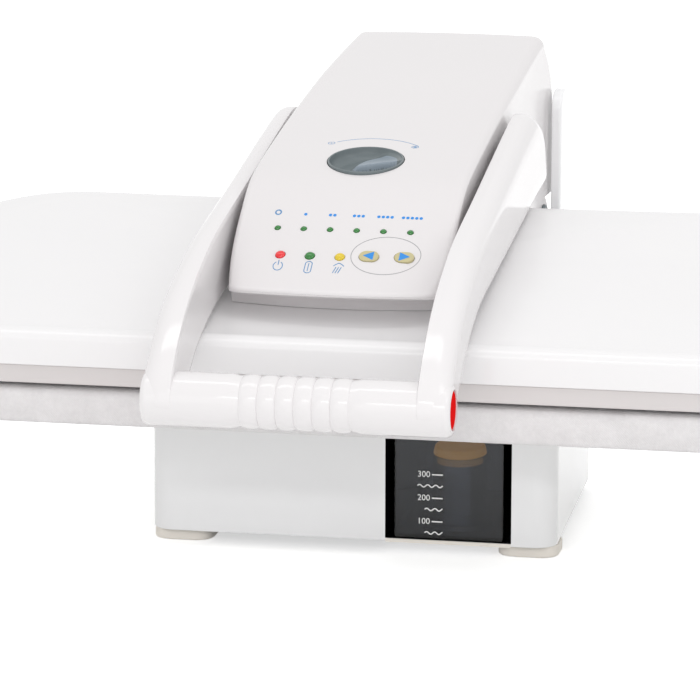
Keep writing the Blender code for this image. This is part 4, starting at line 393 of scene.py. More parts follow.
def slab(outline, place, low, high, round_by=0.0, steps=4):
    """Solid of a plan outline between two heights, its upper edge rounded by a quarter circle."""
    middle = outline.mean(axis=0)
    turn = np.linspace(0, math.pi / 2, steps + 1)
    reach = np.linalg.norm(outline - middle, axis=1).max()
    shrink = 1 - round_by * (1 - np.cos(turn)) / reach
    heights = high - round_by + round_by * np.sin(turn)
    rows = [(1.0, low)] + list(zip(shrink, heights))
    local = np.stack([at_height(middle + (outline - middle) * scale, height) for scale, height in rows])
    return put(poled(local), place), True, False


def apply_modifiers(piece):
    """Put a piece's modifiers into its mesh, as a new mesh in place of the old one."""
    graph = bpy.context.evaluated_depsgraph_get()
    mesh = bpy.data.meshes.new_from_object(piece.evaluated_get(graph))
    piece.modifiers.clear()
    spent = piece.data
    piece.data = mesh
    bpy.data.meshes.remove(spent)
    mesh.name = piece.name
    return mesh


def released_mesh(piece):
    """Mesh of an object that is itself removed."""
    mesh = piece.data
    bpy.data.objects.remove(piece)
    return mesh


def join_meshes(target, others):
    """Add the faces of other meshes to a mesh and remove those meshes."""
    whole = bmesh.new()
    for mesh in (target, *others):
        whole.from_mesh(mesh)
    whole.to_mesh(target)
    whole.free()
    for mesh in others:
        bpy.data.meshes.remove(mesh)


def carve(piece, tool, operation="DIFFERENCE"):
    """Apply a Boolean with another object and remove it; cut faces keep the tool's finish."""
    modifier = piece.modifiers.new("carve", "BOOLEAN")
    modifier.operation = operation
    modifier.object = tool
    modifier.solver = "EXACT"
    modifier.material_mode = "TRANSFER"
    apply_modifiers(piece)
    bpy.data.meshes.remove(released_mesh(tool))
    return piece


def cutter(grids, finish):
    """Tool for carve; its finish goes to the faces it cuts."""
    return new_object("cutter", grid_mesh("cutter", grids), [finish])


def box_grid(low, high):
    """Box between two corners, as a grid of two square rows with closed ends."""
    plan = np.array([(low[0], low[1]), (high[0], low[1]), (high[0], high[1]), (low[0], high[1])])
    rows = np.stack([at_height(plan, z) for z in (low[2], high[2])])
    return poled(rows), True, False


def prism_grid(outline, axis, low, high):
    """Outline carried along X (outline in Y, Z), Y (X, Z) or Z (X, Y)."""
    order = {"X": (2, 0, 1), "Y": (0, 2, 1), "Z": (0, 1, 2)}[axis]
    rows = [at_height(outline, level)[:, order] for level in (low, high)]
    return poled(np.stack(rows)), True, False


# Finishes


def node(tree, kind, **values):
    """New node; values name its own settings or its sockets, by label or as _0, _1 and so on by
    place. A socket of another node is linked, any other value is set."""
    made = tree.nodes.new(kind)
    for label, value in values.items():
        if hasattr(made, label):
            setattr(made, label, value)
            continue
        socket = made.inputs[int(label[1:]) if label[1:].isdigit() else label.replace("_", " ")]
        if isinstance(value, bpy.types.NodeSocket):
            tree.links.new(value, socket)
        else:
            socket.default_value = value
    return made


def maths(tree, operation, *values):
    """Output of a math node over sockets or numbers."""
    inputs = {f"_{place}": value for place, value in enumerate(values)}
    return node(tree, "ShaderNodeMath", operation=operation, **inputs).outputs[0]


def noise(tree, vector, scale, detail, **values):
    """Output of a noise texture over a vector."""
    made = node(tree, "ShaderNodeTexNoise", Vector=vector, Scale=scale, Detail=detail, **values)
    return made.outputs["Fac"]


def darkened(tree, tone, dark, factor):
    """Colour multiplied by a darker one, as far as the factor says."""
    mix = node(tree, "ShaderNodeMix", data_type="RGBA", blend_type="MULTIPLY", Factor=factor, A=tone, B=dark)
    return mix.outputs["Result"]


def effect_group(name, **inputs):
    """Node group with a Colour input and others, whose kind follows from their value. Returned with
    its inputs' sockets and the Object coordinates."""
    group = bpy.data.node_groups.new(name, "ShaderNodeTree")
    for label, value in {"Colour": (0.8, 0.8, 0.8, 1), **inputs}.items():
        kind = {3: "Vector", 4: "Color"}[len(value)] if isinstance(value, tuple) else "Float"
        socket = group.interface.new_socket(name=label, in_out="INPUT", socket_type="NodeSocket" + kind)
        socket.default_value = value
    given = group.nodes.new("NodeGroupInput").outputs
    return group, given, group.nodes.new("ShaderNodeTexCoord").outputs["Object"]


def closed_group(group, tone, roughness, height):
    """The group with its outputs Colour, Roughness and Height linked."""
    outputs = (("Colour", "Color", tone), ("Roughness", "Float", roughness), ("Height", "Float", height))
    for label, kind, _ in outputs:
        group.interface.new_socket(name=label, in_out="OUTPUT", socket_type="NodeSocket" + kind)
    result = group.nodes.new("NodeGroupOutput")
    for label, _, socket in outputs:
        group.links.new(socket, result.inputs[label])
    return group


def moulded_group():
    """Moulded plastic: slow drift of shade and gloss, and the fine orange peel of the tool."""
    group, given, place = effect_group(
        "moulded plastic", Drift=0.03, Roughness=0.25, Spread=0.06, Grain=900.0
    )
    slow = noise(group, place, 9.0, 2.0)
    fine = noise(group, place, given["Grain"], 3.0)
    drift = maths(group, "MULTIPLY", slow, given["Drift"])
    tone = darkened(group, given["Colour"], (0.80, 0.79, 0.78, 1), drift)
    centred = maths(group, "SUBTRACT", slow, 0.5)
    gloss = maths(group, "MULTIPLY_ADD", centred, given["Spread"], given["Roughness"])
    return closed_group(group, tone, gloss, fine)


def woven_group():
    """Felted cotton: two crossed waves of thread under matted fibre, with lighter and darker tufts."""
    group, given, place = effect_group("woven cloth", Threads=420.0, Mottle=0.25, Felt=0.6)
    waves = [
        node(group, "ShaderNodeTexWave", bands_direction=direction, Distortion=1.2, Detail=1.0, Vector=place,
             Scale=given["Threads"]).outputs["Fac"]
        for direction in ("X", "DIAGONAL")
    ]
    weave = maths(group, "MAXIMUM", *waves)
    tufts = noise(group, place, 330.0, 6.0, Roughness=0.72)
    clouds = noise(group, place, 70.0, 3.0)
    height = node(group, "ShaderNodeMix", data_type="FLOAT", Factor=given["Felt"], A=weave, B=tufts)
    mottled = maths(group, "ADD", tufts, clouds)
    limits = node(group, "ShaderNodeMapRange", Value=mottled, From_Min=0.75, From_Max=1.3)
    share = maths(group, "MULTIPLY", limits.outputs["Result"], given["Mottle"])
    tone = darkened(group, given["Colour"], (0.62, 0.61, 0.61, 1), share)
    rough = node(group, "ShaderNodeMapRange", Value=tufts, To_Min=0.82, To_Max=0.98)
    return closed_group(group, tone, rough.outputs["Result"], height.outputs["Result"])


def metal_group():
    """Rolled metal: fine lines along one direction, with stains and rubbed spots."""
    group, given, place = effect_group("rolled metal", Roughness=0.3, Lines=(40.0, 900.0, 900.0), Stain=0.3)
    stretch = node(group, "ShaderNodeVectorMath", operation="MULTIPLY", _0=place, _1=given["Lines"])
    lines = noise(group, stretch.outputs["Vector"], 1.0, 3.0)
    stains = noise(group, place, 45.0, 4.0)
    share = maths(group, "MULTIPLY", stains, given["Stain"])
    tone = darkened(group, given["Colour"], (0.62, 0.60, 0.57, 1), share)
    rough = maths(group, "MULTIPLY_ADD", lines, 0.22, given["Roughness"])
    return closed_group(group, tone, rough, lines)


GROUPS = {"moulded plastic": moulded_group, "woven cloth": woven_group, "rolled metal": metal_group}


def principled(name, **values):
    """New material, its node tree and its Principled shader with the given constants."""
    made = bpy.data.materials.new(name)
    made.use_nodes = True
    shader = made.node_tree.nodes["Principled BSDF"]
    for label, value in values.items():
        shader.inputs[label].default_value = value
    return made, made.node_tree, shader


def add_relief(tree, shader, height, strength, distance):
    """Bump of a height on the shader's normal."""
    relief = node(tree, "ShaderNodeBump", Strength=strength, Distance=distance, Height=height)
    tree.links.new(relief.outputs["Normal"], shader.inputs["Normal"])


def grouped_material(name, effect, values, bump, constants):
    """Principled material whose colour, roughness and bump come from a shared effect."""
    name += "_finish"
    if name in bpy.data.materials:
        return bpy.data.materials[name]
    made, tree, shader = principled(name, **constants)
    source = tree.nodes.new("ShaderNodeGroup")
    source.node_tree = bpy.data.node_groups.get(effect) or GROUPS[effect]()
    for label, value in values.items():
        source.inputs[label].default_value = value
    tree.links.new(source.outputs["Colour"], shader.inputs["Base Color"])
    tree.links.new(source.outputs["Roughness"], shader.inputs["Roughness"])
    add_relief(tree, shader, source.outputs["Height"], *bump)
    made.diffuse_color = tuple(values["Colour"])
    return made


def plastic(name, tone, roughness, drift, grain=900.0, relief=0.00002, **shader):
    """Moulded plastic of a tone; drift is how far the shade wanders."""
    values = {"Colour": (*tone, 1), "Drift": drift, "Roughness": roughness, "Spread": 0.06, "Grain": grain}
    return grouped_material(name, "moulded plastic", values, (0.35, relief), shader)


def metal(name, tone, roughness, lines=(30.0, 900.0, 900.0), stain=0.35):
    """Rolled metal; lines sets the grain along each axis."""
    values = {"Colour": (*tone, 1), "Roughness": roughness, "Lines": lines, "Stain": stain}
    return grouped_material(name, "rolled metal", values, (0.4, 0.00002), {"Metallic": 1.0})


LOW_GLOSS = {"Specular IOR Level": 0.12}
NO_GLOSS = {"Specular IOR Level": 0.0}
KNOB_GRAIN = {"roughness": 0.30, "drift": 0.25, "grain": 1100.0, "Specular IOR Level": 0.3}


def white_plastic():
    return plastic("white_plastic", finishes().white, 0.13, 0.08)


# Brighter copy of the white plastic: painted light on the base and the tower
def base_plastic_painted_light():
    return plastic("base_plastic_painted_light", finishes().base_white_painted_light, 0.18, 0.08)


def shell_plastic():
    return plastic("shell_plastic", finishes().shell, 0.13, 0.08)


def dark_plastic():
    return plastic("dark_plastic", finishes().dark, 0.45, 0.4, 1400.0, **LOW_GLOSS)


def grey_plastic():
    return plastic("grey_plastic", finishes().grey, **KNOB_GRAIN)


def cream_rubber():
    return plastic("cream_rubber", finishes().cream, 0.55, 0.3, 1300.0, 0.00005)


def azure_print():
    return plastic("azure_print", finishes().azure, 0.35, 0.15)


def cloth():
    """Felted cotton of the board's cover, with a little sheen."""
    values = {"Colour": (*finishes().cloth, 1), "Threads": 420.0, "Mottle": 0.30, "Felt": 0.65}
    shader = {"Sheen Weight": 0.35, "Sheen Roughness": 0.6}
    return grouped_material("pad_cloth", "woven cloth", values, (0.75, 0.0005), shader)


def clear_material(name, tone, roughness, painted_edge_shade=None):
    """Smoked clear plastic: plain transmission, and painted shade: a darker tone where the wall is seen edge
    on, in place of the dark edges that refraction gives.
    """
    name += "_finish"
    if name in bpy.data.materials:
        return bpy.data.materials[name]
    made, tree, shader = principled(name, **{
        "Base Color": (*tone, 1), "Roughness": roughness, "IOR": 1.42, "Transmission Weight": 1.0,
        "Specular IOR Level": 0.05,
    })
    place = tree.nodes.new("ShaderNodeTexCoord").outputs["Object"]
    add_relief(tree, shader, noise(tree, place, 160.0, 2.0), 0.15, 0.00003)
    if painted_edge_shade is not None:
        # Painted shade: the base colour turns dark navy towards grazing angles
        facing = node(tree, "ShaderNodeLayerWeight", Blend=0.35)
        ramp = tree.nodes.new("ShaderNodeValToRGB")
        stops = ((0.45, tone), (0.62, painted_edge_shade))
        for element, (position, shade) in zip(ramp.color_ramp.elements, stops):
            element.position = position
            element.color = (*shade, 1)
        tree.links.new(facing.outputs["Facing"], ramp.inputs["Fac"])
        tree.links.new(ramp.outputs["Color"], shader.inputs["Base Color"])
    made.diffuse_color = (*tone, 0.5)
    return made


def lens_material(name, tone, glow):
    """Coloured lens: glossy coated plastic that glows faintly."""
    return plastic(
        name, tone, 0.10, 0.25, 700.0, 0.00001,
        **{"Coat Weight": 0.6, "Coat Roughness": 0.04, "Emission Color": (*tone, 1),
           "Emission Strength": glow},
    )


# Board pad


def board_outline(inset):
    """Plan of the board drawn in all round: a rectangle with large round corners."""
    radius = max(sizes().board_corner - inset, 0.003)
    left, right = BOARD_LOW[0] + inset, BOARD_HIGH[0] - inset
    return rounded_rectangle(left, right, BOARD_LOW[1] + inset, BOARD_HIGH[1] - inset, radius, 20, 44)


def edge_distance(points):
    """Distance inside the board's plan edge: the rounded rectangle's signed distance, negated."""
    centre = (BOARD_LOW[:2] + BOARD_HIGH[:2]) / 2
    radius = sizes().board_corner
    half = (BOARD_HIGH[:2] - BOARD_LOW[:2]) / 2 - radius
    over = np.abs(points[:, :2] - centre) - half
    outside = np.linalg.norm(np.maximum(over, 0), axis=1)
    return radius - outside - np.minimum(over.max(axis=1), 0)


PAD_START_INSET = 0.0068
PAD_TOP_CLEARANCE = 0.0001
HEM_WIDTH = 0.015
HEM_THICKNESS = 0.0013
SWELL_FRAMES = 20
SWELL_PRESSURE = 4.0
PAD_SIDE_LEAN = 0.0042
PAD_EDGE_WIDTH = 0.018
PAD_PUCKER = 0.0005
PAD_CROWN = 0.0011
PAD_CROWN_REACH = 0.045
SIDE_WAVE = 0.00022


def pad_start_grid():
    """Pad before it swells: the plan outline over a flat bottom, an upright side and a flat top."""
    bottom = corners("board_pan")[1][2] + SEAT_GAP
    top = BOARD_HIGH[2] - PAD_TOP_CLEARANCE
    profile = softened(
        [(0.060, bottom), (PAD_START_INSET, bottom), (PAD_START_INSET, top - 0.001), (0.060, top)],
        [0, 0.005, 0.006, 0], 5,
    )
    return poled(levels(profile, board_outline)), True, False


def swollen(piece):
    """Swell the pad by cloth simulation, then hold each point within the allowed swell."""
    rest = np.empty(len(piece.data.vertices) * 3, np.float32)
    piece.data.vertices.foreach_get("co", rest)
    cloth_modifier = piece.modifiers.new("swell", "CLOTH")
    settings = cloth_modifier.settings
    settings.use_pressure = True
    settings.uniform_pressure_force = SWELL_PRESSURE
    settings.effector_weights.gravity = 0.0
    settings.quality = 6
    cloth_modifier.point_cache.frame_start = 1
    cloth_modifier.point_cache.frame_end = SWELL_FRAMES
    for step in range(1, SWELL_FRAMES + 1):
        bpy.context.scene.frame_set(step)
    graph = bpy.context.evaluated_depsgraph_get()
    moved = np.empty(len(rest), np.float32)
    evaluated = piece.evaluated_get(graph).to_mesh()
    evaluated.vertices.foreach_get("co", moved)
    piece.evaluated_get(graph).to_mesh_clear()
    piece.modifiers.clear()
    bpy.context.scene.frame_set(1)
    rest = rest.reshape(-1, 3).astype(float)
    shift = moved.reshape(-1, 3).astype(float) - rest
    far = np.linalg.norm(shift, axis=1, keepdims=True)
    limit = sizes().pad_swell
    shift = shift * np.minimum(1, limit / np.maximum(far, 1e-9))
    points = rest + shift
    piece.data.vertices.foreach_set("co", points.astype(np.float32).ravel())
    piece.data.update()


def settle_pad(points):
    """Press the pad between pan and plate: the height is held between both, the side leans out a
    little over its middle, and slow waves pucker the cloth along the edge."""
    low = corners("board_pan")[1][2] + SEAT_GAP
    high = BOARD_HIGH[2] - PAD_TOP_CLEARANCE
    inside = edge_distance(points)
    middle = (BOARD_LOW + BOARD_HIGH)[:2] / 2
    outward = points[:, :2] - middle
    outward /= np.maximum(np.linalg.norm(outward, axis=1, keepdims=True), 1e-6)
    points[:, :2] -= outward * np.clip(PAD_SIDE_LEAN - inside, 0, 0.02)[:, None]
    near_edge = np.clip(1 - inside / PAD_EDGE_WIDTH, 0, 1)
    x, y = points[:, 0], points[:, 1]
    wave = np.sin(x * 61 + 1.3 * np.sin(y * 37)) * np.sin(y * 53 + x * 11)
    points[:, 2] += PAD_PUCKER * wave * (0.35 + near_edge)
    roof = high - PAD_CROWN + PAD_CROWN * np.clip(inside / PAD_CROWN_REACH, 0, 1)
    points[:, 2] = np.clip(points[:, 2], low, roof)
    return points


def cover_grid():
    """Side and hem of the cloth cover: a thin strip carried round the plan, from over the pad's edge
    down its side and under the pan. Its upper edge thins out on the pad, and slow waves run along
    its side."""
    low, high = BOARD_LOW[2], BOARD_HIGH[2]
    outer = [
        (HEM_WIDTH, low), (0.0018, low), (0.0, low + 0.0095), (0.0022, high - 0.0030), (0.018, high - 0.0006),
    ]
    inner = [
        (0.018, high - 0.0010), (0.0058, high - 0.0030), (0.0026, low + 0.0100),
        (0.0030, low + HEM_THICKNESS), (HEM_WIDTH, low + HEM_THICKNESS),
    ]
    radii = [0.0004, 0.0040, 0.0040, 0.0045, 0.0001, 0.0001, 0.0020, 0.0020, 0.0005, 0.0004]
    rows = levels(softened(outer + inner, radii, 6, closed=True), board_outline)
    middle = (BOARD_LOW + BOARD_HIGH) / 2
    reach = np.linalg.norm(rows[..., :2] - middle[:2], axis=-1, keepdims=True)
    x, y = rows[..., 0], rows[..., 1]
    wave = np.sin(x * 47 + 1.9 * np.sin(x * 13)) + np.sin(y * 59 + 0.7) + 0.6 * np.sin(x * 131 + y * 83)
    height = np.clip((rows[..., 2] - low) / (high - low), 0, 1)
    shift = -SIDE_WAVE * (1 + 0.38 * wave) * np.sin(height * math.pi)
    rows[..., :2] += (rows[..., :2] - middle[:2]) / reach * shift[..., None]
    return rows, True, True


def make_pad():
    """Pad and hem as one padded piece: a voxel mesh of the pad's form, swollen, smoothed, pressed."""
    pad = new_object("board_pad", grid_mesh("board_pad", [pad_start_grid()]))
    remesh = pad.modifiers.new("cells", "REMESH")
    remesh.mode = "VOXEL"
    remesh.voxel_size = sizes().pad_voxel
    apply_modifiers(pad)
    swollen(pad)
    subdivide = pad.modifiers.new("smooth", "SUBSURF")
    subdivide.levels = subdivide.render_levels = 1
    mesh = apply_modifiers(pad)
    points = np.empty(len(mesh.vertices) * 3, np.float32)
    mesh.vertices.foreach_get("co", points)
    points = settle_pad(points.reshape(-1, 3).astype(float))
    mesh.vertices.foreach_set("co", points.astype(np.float32).ravel())
    join_meshes(mesh, [grid_mesh("hem", [cover_grid()])])
    mesh.materials.clear()
    mesh.materials.append(cloth())
    finish_piece(pad, "base", ("board_cover", "board_foam"), 60.0)


# Head shell and rim

SHELL_WALL = 0.003
SHELL_FRONT_Z = 0.146
SHELL_FRONT_TOP_Z = 0.1514
SHELL_BACK_Z = 0.172
SHELL_BACK_TOP_Z = 0.1930
SHELL_END_DROP = 0.012
SHELL_END_LENGTH = 0.115
SHELL_MOUTH_SETBACK = 0.067
SHELL_MOUTH_Z = 0.1475
MOUTH_SIDE = 0.007
RIM_INNER_INSET = 0.0077


def shell_plane(y):
    """Height of the head's flat top: it rises evenly from the front to the back."""
    return SHELL_FRONT_TOP_Z + (SHELL_BACK_TOP_Z - SHELL_FRONT_TOP_Z) * (y - BOARD_FRONT_Y) / BOARD_DEPTH


def shell_rows(grow, low, turn=12, inner=12):
    """Rows of the head's form drawn in by -grow: the plan outline at the skirt's foot, a quarter
    ellipse over the edge, whose radius grows to the back and the ends, and then the top plane with
    its crown, drawn to the middle. The ends drop by the square of the share past their start."""
    depth = BOARD_DEPTH
    centre = np.array([0.0, BOARD_FRONT_Y + depth / 2])
    plan = board_outline(-grow)
    back = np.clip((plan[:, 1] - BOARD_FRONT_Y) / depth, 0, 1)
    past = np.maximum(np.abs(plan[:, 0]) - (BOARD_LENGTH / 2 - SHELL_END_LENGTH), 0) / SHELL_END_LENGTH
    drop = SHELL_END_DROP * past ** 2 * back
    front_edge = sizes().shell_front_edge
    radius = front_edge + (sizes().shell_back_edge - front_edge) * np.maximum(back, past)
    inward = (centre - plan) * (depth / BOARD_LENGTH, 1)
    inward /= np.linalg.norm(inward, axis=1, keepdims=True)
    edge = plan + inward * radius[:, None]
    skirt = SHELL_FRONT_Z + (SHELL_BACK_Z - SHELL_FRONT_Z) * back - drop + grow
    top = shell_plane(edge[:, 1]) - drop + grow
    rows = [at_height(plan, low)]
    for swing in np.linspace(0, math.pi / 2, turn + 1):
        spot = plan + (edge - plan) * (1 - math.cos(swing))
        rows.append(np.column_stack([spot, skirt + (top - skirt) * math.sin(swing)]))
    for share in np.linspace(0, 1, inner + 1)[1:]:
        spot = edge + (centre - edge) * share
        crown = sizes().shell_crown * min(share / 0.35, 1) * 0.5 + sizes().shell_crown * share * 0.5
        rows.append(np.column_stack([spot, shell_plane(spot[:, 1]) + grow + crown - drop * (1 - share) ** 2]))
    return np.stack(rows)


def make_head_shell():
    """Head shell: outer and inner form joined at the foot, with the housing's mouth cut in."""
    low = HEAD_LOW[2]
    outer = shell_rows(0, low)
    outer[0][:, 2] = low + 0.0004
    inner = shell_rows(-SHELL_WALL, low, 6, 6)
    lip = np.stack([at_height(board_outline(inset), low) for inset in (0.0004, SHELL_WALL)])
    rows = np.concatenate([inner[::-1], lip[::-1], outer])
    skin = grid_mesh("head_shell_skin", [(rows, True, False)])
    shell = new_object("head_shell_skin", skin, [shell_plastic()])
    half = (sizes().housing_width - MOUTH_SIDE * 2) / 2
    mouth = box_grid(
        (-half, BOARD_FRONT_Y + SHELL_MOUTH_SETBACK, SHELL_MOUTH_Z),
        (half, BOARD_FRONT_Y + BOARD_DEPTH + 0.01, SHELL_BACK_TOP_Z + 0.02),
    )
    carve(shell, cutter([mouth], shell_plastic()))
    finish_piece(shell, "head", ("head_shell",), 30.0)


def make_rim():
    """Rim round the plate: a rounded bar's section carried round the board's plan."""
    low, high = RIM_LOW[2], RIM_HIGH[2]
    inner, outer = RIM_INNER_INSET, RIM_LOW[0] - BOARD_LOW[0]
    profile = softened(
        [(inner, low), (outer, low), (outer, high), (inner, high)], [0.0004, 0.0012, 0.0008, 0.0004], 4,
        closed=True,
    )
    finish = plastic("beige_plastic", finishes().beige, 0.42, 0.25, 1500.0, 0.00004)
    grid = (levels(profile, board_outline), True, True)
    piece_of("plate_rim_skin", [grid], finish, "head", ("plate_rim",))


# Control housing

PANEL_EDGE_Z = 0.177
PANEL_LENGTH = 0.1172
PANEL_RISE = 0.0622
DECK_RADIUS = 3.2
HOUSING_CROWN = 0.0010
BOW_RADIUS = 0.196
CORNER_ROUND = 0.009
FLARE = 0.0050
FLARE_HEIGHT = 0.032
FLARE_LENGTH = 0.120
LEAN = 0.0035
REAR_ROUND = 0.007
LIP_HEIGHT = 0.0031
NOSE = 0.0014
NARROWING = 0.0030
NARROW_LENGTH = 0.050
CAVITY_RUN = 0.0435
HOUSING_BOTTOM_Z = 0.142
HOUSING_REAR_BOTTOM_Z = 0.171
BELOW_HOUSING_Z = HOUSING_BOTTOM_Z - 0.02
LOBE_RADIUS = 0.018
SHAFT_HOLE_RADIUS = 0.0056
HINGE_HOLE_RADIUS = 0.0058
CAP_POCKET_RADIUS = 0.0130
FITTING_DEPTH = 0.010
FITTING_GAP = 0.0002
COVER_DEPTH = 0.0075
SLOT_COUNT = 5
SLOT_PITCH = 0.009
HOUSING_WALL = 0.0025
HOUSING_REAR_Y = HINGE[1] + 0.0285
HOUSING_LOW_Z = HINGE[2] - LOBE_RADIUS + 0.0045
UNDERSIDE_RUN = np.array([0.0, 0.22, 0.66, 0.95]) * 0.042
UNDERSIDE_FALL = np.array([0.0, 0.03, 0.12, 1.0])
DECK_Y = PANEL_EDGE_Y + PANEL_LENGTH
DECK_Z = PANEL_EDGE_Z + PANEL_RISE


def deck_height(y):
    """Height of the housing's middle line: the panel's slope and the deck's slow curve, joined by
    the lower branch of a hyperbola, (a + b - sqrt((a - b)^2 + softness^2)) / 2."""
    panel = PANEL_EDGE_Z + math.tan(sizes().panel_slope) * (y - PANEL_EDGE_Y)
    run = y - DECK_Y
    deck = DECK_Z + math.tan(sizes().deck_slope) * run - run ** 2 / (2 * DECK_RADIUS)
    return (panel + deck - np.hypot(panel - deck, sizes().bend_softness)) / 2


def bow(x, y):
    """How far the panel's rows lie back at a half width: x^2 / 2R, fading out over the deck."""
    fade = np.clip((DECK_Y - y) / (DECK_Y - PANEL_EDGE_Y), 0, 1)
    return x ** 2 / (2 * BOW_RADIUS) * fade ** 1.7


def corner_shift(x, width, share):
    """How far the lip's plan corner lies back: R - sqrt(R^2 - t^2) over the last R of the width,
    fading out behind the lip."""
    over = np.clip(np.abs(x) - (width - CORNER_ROUND), 0, CORNER_ROUND)
    fade = np.maximum(1 - share / 0.085, 0) ** 2
    return (CORNER_ROUND - np.sqrt(CORNER_ROUND ** 2 - over ** 2)) * fade


def underside(y):
    """Height of the housing's lower edge: it falls from the lip to the seat behind it."""
    start = PANEL_EDGE_Z - LIP_HEIGHT
    return start - (start - HOUSING_LOW_Z) * np.interp(y - PANEL_EDGE_Y, UNDERSIDE_RUN, UNDERSIDE_FALL)


def housing_rows(inset, stations=150, low=None):
    """Rows across the housing from the lip to the rear, drawn in by a wall. Each row goes from the
    middle of the top over a quarter circle at the shoulder, down the flared wall and back along
    the bottom, and is mirrored. The top is crowned by the square of the width, the lip is rounded
    by a half circle, and the rear leans back lower down."""
    front = PANEL_EDGE_Y + inset * 2
    total = HOUSING_REAR_Y - inset - front
    nose = NOSE * (1 - np.cos(np.linspace(0, math.pi / 2, 9)))
    tail = total - REAR_ROUND * (1 - np.cos(np.linspace(0, math.pi / 2, 11)))[::-1]
    run = np.concatenate([nose, np.linspace(NOSE, total - REAR_ROUND, stations)[1:-1], tail])
    y = front + run
    share = run / total
    top = deck_height(y) - inset
    ahead = np.clip(REAR_ROUND - (total - run), 0, REAR_ROUND)
    top -= REAR_ROUND - np.sqrt(REAR_ROUND ** 2 - ahead ** 2)
    back = np.clip(1 - (HOUSING_REAR_Y - y) / FLARE_LENGTH, 0, 1)
    flare = FLARE * back
    lean = LEAN * back ** 2
    narrow = NARROWING * np.clip(1 - run / NARROW_LENGTH, 0, 1) ** 1.5
    width = sizes().housing_width / 2 - inset - flare * 0.4 - narrow
    bottom = underside(y - inset * 2) + inset
    if low is not None:
        bottom = np.where(y > PANEL_EDGE_Y + CAVITY_RUN, low, bottom)
    round_off = np.clip(NOSE - run, 0, NOSE)
    pinch = (NOSE - np.sqrt(NOSE ** 2 - round_off ** 2)) * (inset == 0)
    top -= pinch
    bottom += pinch
    shoulder = np.minimum(sizes().housing_shoulder * (0.7 + 0.9 * share), (top - bottom) * 0.8)

    def column(values):
        return np.asarray(values, float)[:, None]

    def crown(x):
        return HOUSING_CROWN * (x / column(width)) ** 2

    def column_y(x):
        return column(y) + bow(x, column(y)) + corner_shift(x, column(width), column(share))

    across = np.sin(np.linspace(0, 1, 20) * math.pi / 2)[None, :-1]
    x_top = column(width - shoulder) * across
    z_top = column(top) - crown(x_top)
    y_top = column_y(x_top)
    swing = np.linspace(0, math.pi / 2, 13)[None, :]
    x_turn = column(width - shoulder) + column(shoulder) * np.sin(swing)
    z_turn = column(top) - crown(x_turn) - column(shoulder) * (1 - np.cos(swing))
    y_turn = column_y(x_turn)
    wall = np.linspace(0, 1, 14)[None, 1:]
    edge_z = z_turn[:, -1:]
    z_wall = edge_z + (column(bottom) - HOUSING_CROWN - edge_z) * wall
    fall = np.clip((edge_z - z_wall) / FLARE_HEIGHT, 0, 1)
    x_wall = x_turn[:, -1:] + column(flare) * (2 * fall - fall ** 2)
    y_wall = np.broadcast_to(y_turn[:, -1:], z_wall.shape)
    x_low = column(width - shoulder * 0.2) * np.cos(np.linspace(0, 1, 12) * math.pi / 2)[None, :]
    z_low = column(bottom) - crown(x_low)
    y_low = column_y(x_low)
    x = np.concatenate([x_top, x_turn, x_wall, x_low], axis=1)
    z = np.concatenate([z_top, z_turn, z_wall, z_low], axis=1)
    y = np.concatenate([y_top, y_turn, y_wall, y_low], axis=1)
    fall = np.clip((column(top) - z) / FLARE_HEIGHT, 0, 1)
    y = y + column(lean) * (2 * fall - fall ** 2)
    half = np.stack([x, y, z], axis=-1)
    other = half[:, 1:-1][:, ::-1] * (-1, 1, 1)
    return np.concatenate([half, other], axis=1)


def folded(rows):
    """Close both ends of the housing's rows by strips between the points that mirror each other."""
    count = rows.shape[1]
    half = count // 2 + 1
    grids = [(rows, True, False)]
    for end in (rows[0], rows[-1]):
        right = end[:half]
        left = end[-np.arange(half) % count]
        share = np.linspace(0, 1, 9)[:, None, None]
        grids.append((right[None] * (1 - share) + left[None] * share, False, False))
    return grids


def panel_spot(x, run):
    """Points of the panel's surface at widths and runs behind the lip, as an array."""
    y = PANEL_EDGE_Y + run
    z = deck_height(y) - HOUSING_CROWN * (x / (sizes().housing_width / 2)) ** 2
    return np.stack([x + 0 * y, y + bow(x, y), z], axis=-1)


def panel_normal(x, run):
    """Normal of the panel's surface: the cross product of its two small steps."""
    step = 0.0005
    along_x = panel_spot(x + step, run) - panel_spot(x - step, run)
    along_run = panel_spot(x, run + step) - panel_spot(x, run - step)
    normal = np.cross(along_x, along_run)
    return normal / np.linalg.norm(normal, axis=-1, keepdims=True)


def on_panel(x, run, lift):
    """Points lifted off the panel's surface."""
    return panel_spot(x, run) + panel_normal(x, run) * lift


def panel_axis():
    """Normal of the panel's middle line."""
    return np.array([0.0, -math.sin(sizes().panel_slope), math.cos(sizes().panel_slope)])


LED_COUNT = 6
LED_PITCH = 0.0164
LED_RUN = 0.0466
LED_RADIUS = 0.0019
LAMPS = (("red", -0.0351), ("green", -0.0166), ("yellow", 0.0019))
LAMP_RUN = 0.0265
LAMP_RADIUS = 0.0031
BUTTONS = (("left", 0.0194), ("right", 0.0406))
BUTTON_RUN = 0.0275
BUTTON_LENGTH = 0.0122
BUTTON_WIDTH = 0.0088
KNOB_RADIUS = 0.0238


def spot_of(x, run):
    """One point of the panel's surface."""
    return panel_spot(np.array(x), np.array(run))


def led_spots():
    """Middles of the status lights, evenly spaced in a row."""
    return [spot_of(LED_PITCH * (index - (LED_COUNT - 1) / 2), LED_RUN) for index in range(LED_COUNT)]


def knob_place():
    """Placement of the knob, square to the deck's slope at the bend."""
    slope = sizes().deck_slope
    height = float(deck_height(np.array(DECK_Y)))
    return place_at((0, DECK_Y, height), (0, -math.sin(slope), math.cos(slope)))


def rear_outline(inset):
    """Outline of the rear cover in X and Z."""
    half = sizes().housing_width / 2 - 0.016 - inset
    high = float(deck_height(np.array(HOUSING_REAR_Y))) - 0.022 - inset
    return rounded_rectangle(-half, half, HOUSING_REAR_BOTTOM_Z + inset, high, 0.005, 8, 2)


